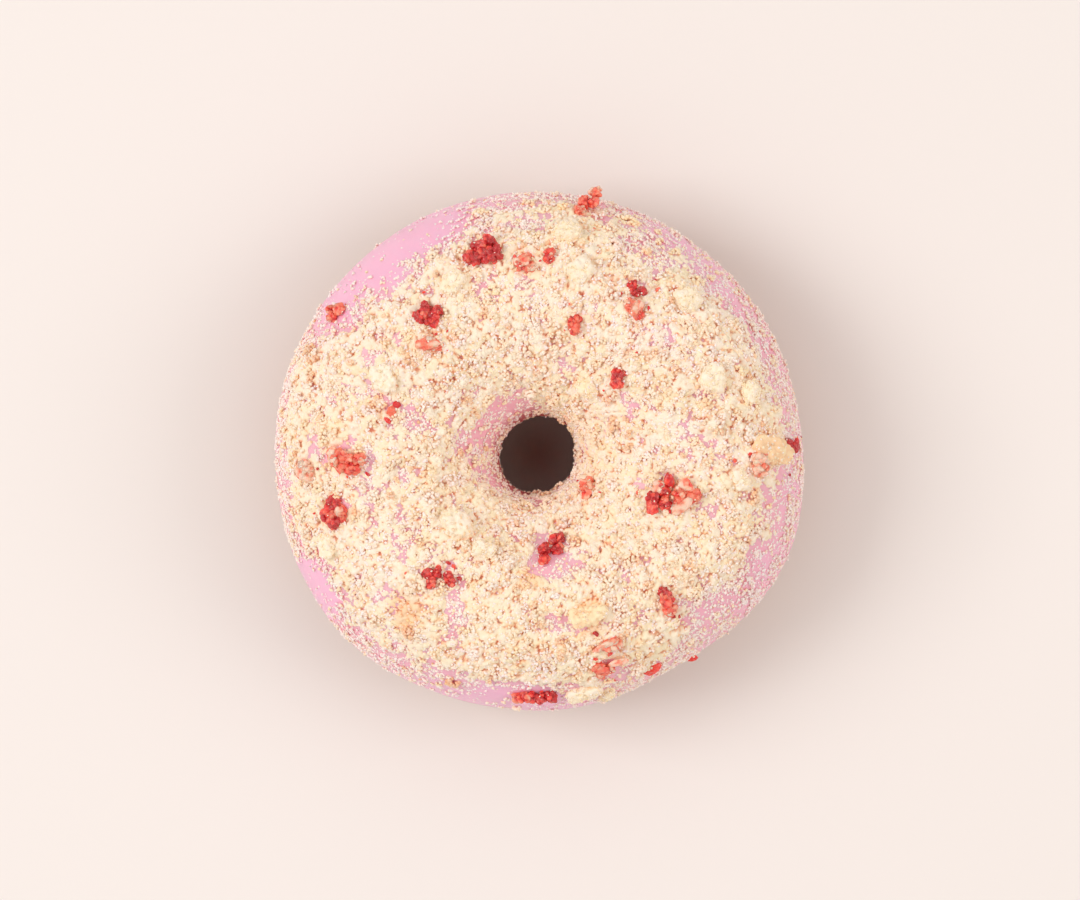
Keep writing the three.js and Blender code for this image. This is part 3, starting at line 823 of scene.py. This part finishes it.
def clumps(rng, around, across, radius, each, grain, pale):
    """Fine crumbs that cling together at the given places: each clump is a flattened ball of them of the
    given radius, and the grains of the larger ones are a little larger."""
    count = len(around)
    middles = lifted(around, across, ICING_TOP + bed_at(around, across) * 0.9 + radius * 0.15)
    base = axes_at(around, across, rng.uniform(0, TURN, count), 0 * around)
    way = unit(rng.normal(size=(count, each, 3)))
    way[..., 2] = np.abs(way[..., 2]) * 1.1 - 0.1
    stretch = drawn(rng, count, (0.9, 1.4), (0.6, 1), (0.5, 0.8))
    local = way * rng.uniform(0.35, 1, (count, each, 1)) ** 0.6 * (radius[:, None] * stretch)[:, None, :]
    centres = turned(middles, base, local).reshape(-1, 3)
    total = count * each
    axes = spun(np.repeat(base, each, axis=0), rng, 3.0)
    length = rng.uniform(*grain, total) + 0.28 * np.repeat(radius, each)
    size = half_sizes(rng, length, (0.7, 1), (0.65, 1))
    shade = np.repeat(crumb_tints(rng, count, 0.1 * (1 - pale), pale), each, axis=0)
    tint = 0.65 * shade + 0.35 * crumb_tints(rng, total, 0.03, pale)
    return crumb_set(centres, axes, size, tint, dough_normal(*nearest_angles(centres)))


def make_set(name, shape, crumbs, rng, roughness, pale, smooth=True):
    """A set of crumbs as one piece. Each one's tint passes from its top into painted shade at its
    underside, and that of pale ones less."""
    centres, size = crumbs["centres"], crumbs["sizes"]
    placed, faces = strew(shape, centres, crumbs["axes"], size, rng, roughness)
    rise = ((placed - centres[:, None, :]) * crumbs["out"][:, None, :]).sum(-1)
    rise = rise / np.maximum(size[:, 0], 1e-6)[:, None]
    # Painted shade: points lower on each crumb get darker and warmer, and pale crumbs less so.
    share = np.clip(0.5 + 0.5 * rise + 0.55 * pale, 0, 1)[..., None]
    tint = browner(crumbs["tints"], centres)[:, None, :] * (UNDERSIDE_PAINTED_SHADE + (1 - UNDERSIDE_PAINTED_SHADE) * share)
    return add_mesh(name, placed, faces, smooth, tint.reshape(-1, 3))


def mulberry(start, count):
    """The seeded random numbers that the solids were strewn with: each is a mix of a counter's bits."""
    mask = np.uint64(0xFFFFFFFF)
    t = (CRUMB_SEED + 0x6D2B79F5 * np.arange(start, start + count, dtype=np.uint64)) & mask
    t = ((t ^ (t >> np.uint64(15))) * (t | np.uint64(1))) & mask
    t = t ^ ((t + (((t ^ (t >> np.uint64(7))) * (t | np.uint64(61))) & mask)) & mask)
    return ((t ^ (t >> np.uint64(14))) & mask) / 4294967296


def solid_crumbs():
    """The places of the crumbs that the solids have, by the same rule: throws are kept where the cover is
    thick and nothing lies too close. Gives around, across and size."""
    tops = np.array([t[:4] for t in (*BERRIES, *CHUNKS)], float)
    a = np.radians(tops[:, 0])
    taken = lifted(a, place_on_icing(a, tops[:, 1]), ICING_THICKNESS)
    taken_size = (tops[:, 2] + tops[:, 3]) / 2
    spots, found = np.zeros((0, 3)), []
    draws = mulberry(2, 6 * MOST_TRIES).reshape(MOST_TRIES, 6)
    row = 0
    for count, smallest, largest, apart in CRUMB_SIZES:
        around = draws[:, 0] * TURN
        low, high = CRUMB_BAND
        across = icing_across(around, low + (high - low) * draws[:, 1])
        size = smallest + (largest - smallest) * draws[:, 2]
        spot = lifted(around, across, ICING_THICKNESS)
        keep = draws[:, 4] * RIM_RADIUS <= radius_of(spot)
        keep &= draws[:, 5] <= cover(spot) + LEAST_COVER
        left = count
        while left > 0 and row < MOST_TRIES:
            if keep[row]:
                room = (taken_size + size[row]) * TOPPINGS_APART
                clear = (np.linalg.norm(taken - spot[row], axis=1) >= room).all()
                if clear and (np.linalg.norm(spots - spot[row], axis=1) >= apart).all():
                    spots = np.concatenate([spots, spot[row : row + 1]])
                    found.append((around[row], across[row], size[row]))
                    left -= 1
            row += 1
    return np.array(found).T


def resting_lift(height):
    """A topping's middle over the dough, with its sunk share in the icing."""
    return ICING_TOP + height * (0.5 - TOPPING_SUNK)


def make_chunks():
    """The biscuit chunks: balls of many faces, dented by noise of three sizes and squared off, at each
    one's own length, width and height."""
    around, radius, length, width, turn, toasted = np.array(CHUNKS).T
    around = np.radians(around)
    across = place_on_icing(around, radius)
    points, faces = icosphere(4)
    height = width * TOPPING_HEIGHT
    axes = axes_at(around, across, np.radians(turn), 0 * turn)
    centres = lifted(around, across, resting_lift(height) + bed_at(around, across) * 0.85)
    sizes = np.stack([length, width, height], -1) / 2
    n = len(around)
    squared = points / (np.abs(points) ** 3).sum(-1, keepdims=True) ** (1 / 3)
    local = squared[None] * sizes[:, None, :]
    at = local + np.arange(n)[:, None, None] * 17.0
    dents = 0.26 * fractal(at, 2.4, 85, 2)
    ledges, own = grains(at, 1.25, 89)
    finer, _ = grains(at, 0.6, 86)
    push = 0.6 * (ledges - 0.45) * (0.4 + own) + 0.26 * dome(finer)
    local = local * (1 + dents)[..., None] + unit(local) * push[..., None]
    # Painted shade: dents pass towards toasted and ledges towards pale, on top of each chunk's own toasting
    # and mottle.
    tone = toasted[:, None] + 0.15 * fractal(at, 1.6, 93, 2) + 0.16 * (own - 0.5) - 0.5 * push
    pale = 0.6 * CREAM + 0.4 * PALE_CREAM
    tint = blend([pale, CREAM, YELLOW_CREAM, TOASTED, TOASTED * 0.9], np.clip(tone, 0, 1))
    faces = repeated(faces, n, len(points))
    return add_mesh("biscuit_chunks", turned(centres, axes, local), faces, True, tint.reshape(-1, 3))


def berry_lumps():
    """The lumps of every berry piece, where the solids have them: centre, axes, size and colour."""
    rng = np.random.default_rng(97)
    found = []
    for around, radius, length, width, turn, lumps, tip, shade in BERRIES:
        a = np.array([math.radians(around)])
        across = place_on_icing(a, radius)
        size = max(width * BERRY_LUMP[0], length / lumps * BERRY_LUMP[1])
        height = min(size * BERRY_LUMP[2], TALLEST_LUMP)
        tip = math.radians(tip)
        lift = resting_lift(height) + math.sin(tip) * (length - size) / 2 + 0.7 * bed_at(a, across)
        basis = axes_at(a, across, np.array([math.radians(turn)]), np.array([tip]))[0]
        step = np.arange(lumps)
        along = (step / (lumps - 1) - 0.5) * (length - size)
        aside = np.where(step % 2, 0.5, -0.5) * max(0, width - size)
        local = np.stack([along, aside, 0 * along], -1) + rng.uniform(-0.1, 0.1, (lumps, 3)) * size
        centres = lifted(a, across, lift)[0] + local @ basis.T
        axes = spun(np.repeat(basis[None], lumps, axis=0), rng, 0.5)
        uneven = drawn(rng, lumps, (0.85, 1.2), (0.75, 1.05), (0.8, 1.05))
        shades = np.clip(0.86 * shade + rng.normal(0, 0.12, lumps), 0, 1)
        found.append((centres, axes, np.array([size, size, height]) * uneven, shades))
    return [np.concatenate(x) for x in zip(*found)]


def lobed(shape, centres, axes, sizes, shades, offset, deep):
    """Copies of a ball, each swollen into rounded lobes with creases between them and folded by ridges,
    where ridges are 1 less the size of noise. Gives points, faces and tints, the tints with painted light on
    lobes and ridges and painted shade in the creases."""
    points, faces = shape
    n = len(centres)
    local = points[None] * sizes[:, None, :] * 0.5
    at = local + np.arange(n)[:, None, None] * 13.0 + offset
    lobes, own = grains(at, 1.35, 103)
    ridges = 1 - np.abs(fractal(at, 1.6, 107, 2))
    width = np.minimum(sizes[:, :1], sizes[:, 2:] * 1.3)
    crags, own_crag = grains(at, 0.8, 109)
    relief = 0.3 * dome(lobes) + 0.2 * (ridges - 0.75) + 0.24 * (crags - 0.45) * (0.4 + own_crag)
    push = width * deep * relief
    local = local + unit(local) * push[..., None]
    # Painted light and shade: paler on lobe tops and ridges, deeper red in creases, crags flecked lighter
    # and darker. Each piece's colour and the random share per lobe are its own.
    shade = shades[:, None] + 0.4 * (own - 0.5) + 0.5 * (np.sqrt(lobes) - 0.6) + 0.25 * (ridges - 0.75)
    shade = shade + 0.35 * (crags - 0.5) * (0.4 + own_crag)
    stops = [DEEP_RED * 0.75, DEEP_RED, RED, CORAL, CORAL, SALMON, PALE_SALMON]
    tint = blend(stops, np.clip(shade + 0.05, 0, 1))
    placed = turned(centres, axes, local)
    return placed.reshape(-1, 3), repeated(faces, n, len(points)), tint.reshape(-1, 3)


def berry_slabs():
    """The flat flakes of fruit: centres, axes, sizes and shades."""
    x, y, length, width, turn, tip, shade = np.array(SLABS).T
    around = np.arctan2(y, x)
    across = place_on_icing(around, np.hypot(x, y))
    axes = axes_at(around, across, np.radians(turn), np.radians(tip))
    centres = lifted(around, across, ICING_TOP + 0.7 * bed_at(around, across) + SLAB_RISE)
    return centres, axes, np.stack([length, width, 0.28 * width + 0.5], -1), shade


def make_berries(lumps):
    """The lumps, three small lobes on the upper half of each, and the slabs."""
    rng = np.random.default_rng(99)
    centres, axes, sizes, shades = lumps
    n = len(centres)
    way = unit(rng.normal(size=(n, 3, 3)))
    way[..., 2] = np.abs(way[..., 2]) * 0.9
    small = turned(centres, axes, way * sizes[:, None, :] * 0.36).reshape(-1, 3)
    lobe = np.clip(sizes[:, None, :1] * rng.uniform(0.4, 0.68, (n, 3, 1)), 1.0, 2.1)
    lobe = (lobe * rng.uniform(0.65, 1.2, (n, 3, 3))).reshape(-1, 3)
    lobe_axes = spun(np.repeat(axes, 3, axis=0), rng, 3.0)
    lobe_shades = np.repeat(shades, 3) + rng.normal(0.05, 0.16, 3 * n)
    parts = [
        lobed(icosphere(3), *lumps, 0.0, 1.0),
        lobed(icosphere(2), small, lobe_axes, lobe, lobe_shades, 5.0, 0.7),
        lobed(icosphere(3), *berry_slabs(), 9.0, 0.8),
    ]
    points, faces, tints = zip(*parts)
    starts = np.cumsum([0] + [len(p) for p in points])
    faces = np.concatenate([f + start for f, start in zip(faces, starts)])
    return add_mesh("berry_pieces", np.concatenate(points), faces, True, np.concatenate(tints))


def make_berry_specks():
    """Small dark-red scraps that fell beside the pieces."""
    rng = np.random.default_rng(111)
    a, r = np.repeat(np.array(BERRIES)[:, :2], 3, axis=0).T
    a = np.radians(a) + rng.normal(0, 0.06, len(a))
    r = r + rng.normal(0, 2.6, len(r))
    specks_x, specks_y, specks_length = np.array(SPECKS).T
    x = np.concatenate([specks_x, r * np.cos(a)])
    y = np.concatenate([specks_y, r * np.sin(a)])
    length = np.concatenate([specks_length, rng.uniform(0.5, 1.1, len(a))])
    around, radius = np.arctan2(y, x), np.clip(np.hypot(x, y), 8, 46.8)
    across = place_on_icing(around, radius)
    turn = rng.uniform(0, TURN, len(x))
    axes = spun(axes_at(around, across, turn, 0 * turn), rng, 0.9)
    sizes = half_sizes(rng, length, (0.5, 0.8), (0.35, 0.6))
    centres = lifted(around, across, ICING_TOP + bed_at(around, across) + 0.25)
    placed, faces = strew(icosphere(1), centres, axes, sizes, rng, 0.2)
    tint = blend([DEEP_RED * 0.7, DEEP_RED, RED, CORAL], rng.uniform(0, 1, len(x)))
    return add_mesh("berry_specks", placed, faces, False, np.repeat(tint, placed.shape[1], axis=0))


# ---- Materials ------------------------------------------------------------------------------------------

BLACK, WHITE = (0, 0, 0, 1), (1, 1, 1, 1)


def feed(tree, socket, value):
    """Links an output to the socket, or sets the socket's value."""
    if isinstance(value, bpy.types.NodeSocket):
        tree.links.new(value, socket)
    else:
        socket.default_value = value


def put(tree, kind, inputs=(), **settings):
    """A new node with its settings, its inputs set to values or linked from other nodes' outputs."""
    node = tree.nodes.new(kind)
    for key, value in settings.items():
        setattr(node, key, value)
    for key, value in dict(inputs).items():
        feed(tree, node.inputs[key], value)
    return node


def maths(tree, operation, *values, clamp=False):
    """The result of a Math node."""
    node = put(tree, "ShaderNodeMath", dict(enumerate(values)), operation=operation, use_clamp=clamp)
    return node.outputs[0]


def ramp(tree, value, low, high, start=0.0, end=1.0, smooth=True):
    """start where the value is low, end where it is high, and between them smoothly or straight."""
    inputs = {"Value": value, "From Min": low, "From Max": high, "To Min": start, "To Max": end}
    kind = "SMOOTHSTEP" if smooth else "LINEAR"
    return put(tree, "ShaderNodeMapRange", inputs, interpolation_type=kind).outputs["Result"]


def cloudy(tree, scale, detail, roughness=0.5):
    """Noise over the object's own coordinates."""
    inputs = {"Vector": put(tree, "ShaderNodeTexCoord").outputs["Object"], "Scale": scale, "Detail": detail}
    return put(tree, "ShaderNodeTexNoise", {**inputs, "Roughness": roughness}).outputs["Fac"]


def mixed_colour(tree, factor, first, second, kind="MIX"):
    """The colour output of a Mix node, whose colour sockets share their names with others."""
    node = put(tree, "ShaderNodeMix", {"Factor": factor}, data_type="RGBA", blend_type=kind)
    for slot, value in (("A", first), ("B", second)):
        feed(tree, next(s for s in node.inputs if s.name == slot and s.type == "RGBA"), value)
    return next(s for s in node.outputs if s.type == "RGBA")


def multiplied(tree, first, second):
    """One colour times another."""
    return mixed_colour(tree, 1.0, first, second, "MULTIPLY")


def rgba(*colour):
    """A screen colour for a socket."""
    return (*[float(c) for c in srgb(*colour)], 1.0)


def group(name, inputs, outputs):
    """An empty shader group with named sockets: (name, kind, default) in, (name, kind) out."""
    tree = bpy.data.node_groups.new(name, "ShaderNodeTree")
    for label, kind, default in inputs:
        socket = tree.interface.new_socket(label, in_out="INPUT", socket_type=f"NodeSocket{kind}")
        socket.default_value = default
    for label, kind in outputs:
        tree.interface.new_socket(label, in_out="OUTPUT", socket_type=f"NodeSocket{kind}")
    return tree, put(tree, "NodeGroupInput").outputs, put(tree, "NodeGroupOutput").inputs


def mottle_group():
    """Two colours mixed by soft noise: Mask is the noise, sharpened by Contrast."""
    colours = (("First", "Color", WHITE), ("Second", "Color", BLACK))
    numbers = (("Scale", "Float", 300.0), ("Contrast", "Float", 2.0))
    tree, start, end = group("mottle", (*colours, *numbers), (("Color", "Color"), ("Mask", "Float")))
    centred = maths(tree, "SUBTRACT", cloudy(tree, start["Scale"], 4.0, 0.6), 0.5)
    mask = maths(tree, "MULTIPLY_ADD", centred, start["Contrast"], 0.5, clamp=True)
    feed(tree, end["Color"], mixed_colour(tree, mask, start["First"], start["Second"]))
    feed(tree, end["Mask"], mask)
    return tree


def grain_group():
    """A rough height from two noises, coarse and fine, for a Bump node."""
    numbers = (("Scale", "Float", 800.0), ("Fine", "Float", 0.4))
    tree, start, end = group("grain", numbers, (("Height", "Float"),))
    coarse = cloudy(tree, start["Scale"], 3.0)
    fine = cloudy(tree, maths(tree, "MULTIPLY", start["Scale"], 3.7), 2.0)
    feed(tree, end["Height"], maths(tree, "MULTIPLY_ADD", fine, start["Fine"], coarse))
    return tree


MOTTLE, GRAIN = mottle_group(), grain_group()


def mottled(tree, first, second, scale, contrast):
    """The outputs of the mottle group."""
    inputs = {"First": first, "Second": second, "Scale": scale, "Contrast": contrast}
    return put(tree, "ShaderNodeGroup", inputs, node_tree=MOTTLE).outputs


def material(name, **values):
    """A material with a Principled shader, and its plain values set on the shader itself."""
    made = bpy.data.materials.new(name)
    made.use_nodes = True
    shader = next(n for n in made.node_tree.nodes if n.type == "BSDF_PRINCIPLED")
    for key, value in values.items():
        shader.inputs[key.replace("_", " ")].default_value = value
    return made, made.node_tree


def finished(made, colour, scale, fine, strength, distance):
    """The material with its colour, and the grain group's height as a bump of so many mm."""
    tree = made.node_tree
    shader = next(n for n in tree.nodes if n.type == "BSDF_PRINCIPLED").inputs
    grain = put(tree, "ShaderNodeGroup", {"Scale": scale, "Fine": fine}, node_tree=GRAIN)
    inputs = {"Strength": strength, "Distance": distance * MM, "Height": grain.outputs["Height"]}
    feed(tree, shader["Normal"], put(tree, "ShaderNodeBump", inputs).outputs["Normal"])
    feed(tree, shader["Base Color"], colour)
    return made


def own_tint(tree):
    """The colour that each point of the piece carries."""
    return put(tree, "ShaderNodeAttribute", attribute_name="tint").outputs["Color"]


def dough_finish():
    """Fried crust: golden brown, paler in the band round the waist that stands out of the oil, darker
    down the hole, where the crust is browner and painted shade deepens it, and finely freckled."""
    made, tree = material(
        "fried crust",
        Roughness=0.58,
        Subsurface_Weight=0.12,
        Subsurface_Scale=0.003,
        Subsurface_Radius=(1.0, 0.5, 0.25),
    )
    place = put(tree, "ShaderNodeTexCoord").outputs["Object"]
    split = put(tree, "ShaderNodeSeparateXYZ", {"Vector": place}).outputs
    wavering = maths(tree, "MULTIPLY_ADD", cloudy(tree, 70.0, 3.0), 0.006, split["Z"])
    flat = put(tree, "ShaderNodeCombineXYZ", {"X": split["X"], "Y": split["Y"]}).outputs["Vector"]
    away = put(tree, "ShaderNodeVectorMath", {0: flat}, operation="LENGTH").outputs["Value"]
    outside = ramp(tree, away, 0.013, 0.022, smooth=False)
    band = maths(tree, "MULTIPLY", ramp(tree, wavering, 0.0085, 0.0165), outside)
    crust = mottled(tree, rgba(168, 104, 50), rgba(196, 136, 74), 160.0, 3.0)
    pale = mottled(tree, rgba(226, 184, 122), rgba(238, 208, 156), 240.0, 2.5)
    colour = mixed_colour(tree, band, crust["Color"], pale["Color"])
    # Down the hole the crust is browner and is also deepened with painted shade.
    colour = multiplied(tree, colour, mixed_colour(tree, outside, (0.5, 0.24, 0.15, 1), WHITE))
    freckles = mottled(tree, BLACK, WHITE, 900.0, 9.0)["Mask"]
    colour = multiplied(tree, colour, mixed_colour(tree, freckles, (0.82, 0.76, 0.7, 1), WHITE))
    return finished(made, colour, 700.0, 0.5, 0.5, 0.35)


def icing_finish():
    """Set pink icing: smooth, satin, and a little see-through."""
    made, tree = material(
        "pink icing",
        Roughness=0.42,
        Subsurface_Weight=0.5,
        Subsurface_Scale=0.0016,
        Subsurface_Radius=(1.0, 0.55, 0.7),
        Coat_Weight=0.12,
        Coat_Roughness=0.3,
    )
    tone = mottled(tree, (0.96, 0.93, 0.95, 1), WHITE, 90.0, 2.0)["Color"]
    return finished(made, multiplied(tree, own_tint(tree), tone), 420.0, 0.25, 0.16, 0.3)


def crumb_finish(name, scale, depth, roughness):
    """Dry biscuit: the piece's own tint, a little mottled, over a rough grain."""
    made, tree = material(name, Roughness=roughness)
    tone = mottled(tree, (0.98, 0.95, 0.92, 1), WHITE, scale, 3.0)["Color"]
    return finished(made, multiplied(tree, own_tint(tree), tone), scale * 1.6, 0.6, 0.3, depth)


def berry_finish():
    """Freeze-dried fruit: the piece's own tint, specks of dusty frost, and a slight gloss."""
    made, tree = material(
        "dried berry",
        Roughness=0.24,
        Subsurface_Weight=0.35,
        Subsurface_Scale=0.0008,
        Subsurface_Radius=(1.0, 0.3, 0.22),
        Coat_Weight=0.3,
        Coat_Roughness=0.04,
    )
    frost = ramp(tree, mottled(tree, BLACK, WHITE, 1500.0, 9.0)["Mask"], 0.9, 1.0, 0.0, 0.1, smooth=False)
    colour = mixed_colour(tree, frost, own_tint(tree), rgba(250, 205, 190))
    return finished(made, colour, 1300.0, 0.6, 0.9, 0.25)


# ---- The doughnut ---------------------------------------------------------------------------------------


def dress(obj, finish, *nodes, slot=None):
    """Gives a piece its material, its body and the nodes it replaces. slot is not used."""
    obj.data.materials.append(finish)
    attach(obj, "root")
    if nodes:
        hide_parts(*nodes)


ICING_NODE = "icing_with_toppings"

dress(make_dough(), dough_finish(), "dough_ring", slot="fried_dough")
dress(make_icing(), icing_finish(), ICING_NODE, slot="pink_icing")

lumps = berry_lumps()
chunk_around, chunk_radius, chunk_length, chunk_width = np.array(CHUNKS, float)[:, :4].T
chunk_around = np.radians(chunk_around)
chunk_tops = icing_top(chunk_around, place_on_icing(chunk_around, chunk_radius))
# The balls that strewn crumbs keep clear of: middles and radii.
KEEP_OUT = (
    np.concatenate([lumps[0], chunk_tops]),
    np.concatenate([lumps[2][:, 0] * 0.5, (chunk_length + chunk_width) * 0.2]),
)
crumb_material = crumb_finish("biscuit crumbs", 2200.0, 0.12, 0.85)
chunk_material = crumb_finish("biscuit chunks", 1700.0, 0.16, 0.8)
berry_material = berry_finish()
for band in BED_BANDS:
    dress(make_crumb_bed(*band), crumb_material, ICING_NODE)
chunks, berries = make_chunks(), make_berries(lumps)
dress(chunks, chunk_material, ICING_NODE)
dress(berries, berry_material, ICING_NODE)
stuck_rng = np.random.default_rng(151)
on_chunks = stuck(chunks, stuck_rng, 900, (0.3, 0.62), [YELLOW_CREAM, CREAM, PALE_CREAM])
on_berries = stuck(berries, stuck_rng, 100, (0.25, 0.5), [CREAM, PALE_CREAM])
# Name, shape, roughness, whether the faces are smoothed, seed, how they are strewn (count, lengths,
# heights over length, density, share that is toasted and greatest turn), share that is whitish, and what
# else is of the kind.
STREWN_DUST = (15000, (0.36, 0.66), (0.3, 0.45), dust_density, 0, 0.35)
STREWN_FINE = (8980, (0.4, 0.8), (0.55, 0.85), fine_density, 0.02, 1.0)
LOOSE = (
    ("crumb_dust", TETRAHEDRON, 0.15, False, 127, STREWN_DUST, 1, ()),
    ("fine_crumbs", CURD, 0.22, True, 131, STREWN_FINE, 0.7, (on_chunks, on_berries)),
)
for name, shape, roughness, smooth, seed, how, pale, more in LOOSE:
    rng = np.random.default_rng(seed)
    crumbs = together(loose(rng, *how, pale), *more)
    dress(make_set(name, shape, crumbs, rng, roughness, pale, smooth), crumb_material)
# Name, count, grains in each, radii, grain lengths, density, and the share that is whitish.
CLINGING = (
    ("crumb_clumps", 1240, 8, (0.4, 1.1), (0.38, 0.55), coarse_density, 0.05),
    ("small_clumps", 1950, 5, (0.3, 0.7), (0.32, 0.5), rim_density, 0.75),
)
clump_rng = np.random.default_rng(157)
for name, count, each, radii, grain, density, pale in CLINGING:
    place = scattered(clump_rng, count, density)
    clinging = clumps(clump_rng, *place, mostly_small(clump_rng, count, *radii), each, grain, pale)
    dress(make_set(name, CURD, clinging, clump_rng, 0.2, 0.5 * pale), crumb_material)
# The crumbs that the solids have too: the larger ones with more grains.
around, across, size = solid_crumbs()
fused = []
for each, chosen in ((26, size >= COARSE_SIZE), (14, size < COARSE_SIZE)):
    place = around[chosen], across[chosen], 0.46 * size[chosen]
    fused.append(clumps(clump_rng, *place, each, (0.34, 0.55), 0.2))
dress(make_set("coarse_crumbs", CURD, together(*fused), clump_rng, 0.2, 0.1), crumb_material, ICING_NODE)
dress(make_berry_specks(), berry_material)

# ---- Floor, light and camera ----------------------------------------------------------------------------

FLOOR = 6.0  # metres
floor_mesh = bpy.data.meshes.new("floor")
corners = [(-FLOOR, -FLOOR, 0), (FLOOR, -FLOOR, 0), (FLOOR, FLOOR, 0), (-FLOOR, FLOOR, 0)]
floor_mesh.from_pydata(corners, [], [(0, 1, 2, 3)])
floor = bpy.data.objects.new("floor", floor_mesh)
bpy.context.scene.collection.objects.link(floor)
floor_mesh.materials.append(material("plain floor", Roughness=0.9, Base_Color=rgba(236, 229, 227))[0])


def add_light(name, place, size, power, colour):
    """A square soft box at a place in metres, turned to the doughnut."""
    light = bpy.data.lights.new(name, "AREA")
    light.size = size
    light.energy = power
    light.color = colour
    obj = bpy.data.objects.new(name, light)
    obj.location = place
    x, y, z = place
    obj.rotation_euler = (math.atan2(math.hypot(x, y), z), 0, math.atan2(x, -y))
    bpy.context.scene.collection.objects.link(obj)


add_light("key", (-1.3, 0.15, 1.3), 0.9, 14.0, (0.97, 0.97, 0.96))
add_light("fill", (1.4, 0.0, 1.2), 1.0, 7.0, (1.0, 0.94, 0.92))

# The studio's walls are bright higher up and its ceiling over the table is dark, so little light falls down
# the hole.
world = bpy.data.worlds.new("studio")
world.use_nodes = True
walls = world.node_tree
aim = put(walls, "ShaderNodeTexCoord").outputs["Generated"]
height = put(walls, "ShaderNodeSeparateXYZ", {"Vector": aim}).outputs["Z"]
falling = ramp(walls, height, 0.88, 0.985, 0.92, 0.02)
strength = maths(walls, "MULTIPLY", falling, ramp(walls, height, 0.05, 0.5, 0.35, 1.0))
dusk = ramp(walls, height, 0.93, 0.985)
sky = walls.nodes["Background"].inputs
feed(walls, sky["Color"], mixed_colour(walls, dusk, (1.0, 0.955, 0.89, 1), (1.0, 0.2, 0.1, 1)))
feed(walls, sky["Strength"], strength)
scene = bpy.context.scene
scene.world = world
scene.view_settings.view_transform = "Standard"
# Pale crumbs pass light on to each other many times over, so it is followed for longer.
scene.cycles.max_bounces = 16
scene.cycles.diffuse_bounces = 14

PICTURE_WIDTH = 0.1958  # of what the camera sees at the widest line, in metres
CAMERA_HEIGHT = 0.8
SENSOR = 36
camera_data = bpy.data.cameras.new("camera")
camera_data.sensor_width = SENSOR
camera_data.lens = SENSOR * (CAMERA_HEIGHT - WAIST_HEIGHT * MM) / PICTURE_WIDTH
camera = bpy.data.objects.new("camera", camera_data)
camera.location = (0.00014, 0.00032, CAMERA_HEIGHT)
scene.collection.objects.link(camera)
scene.camera = camera
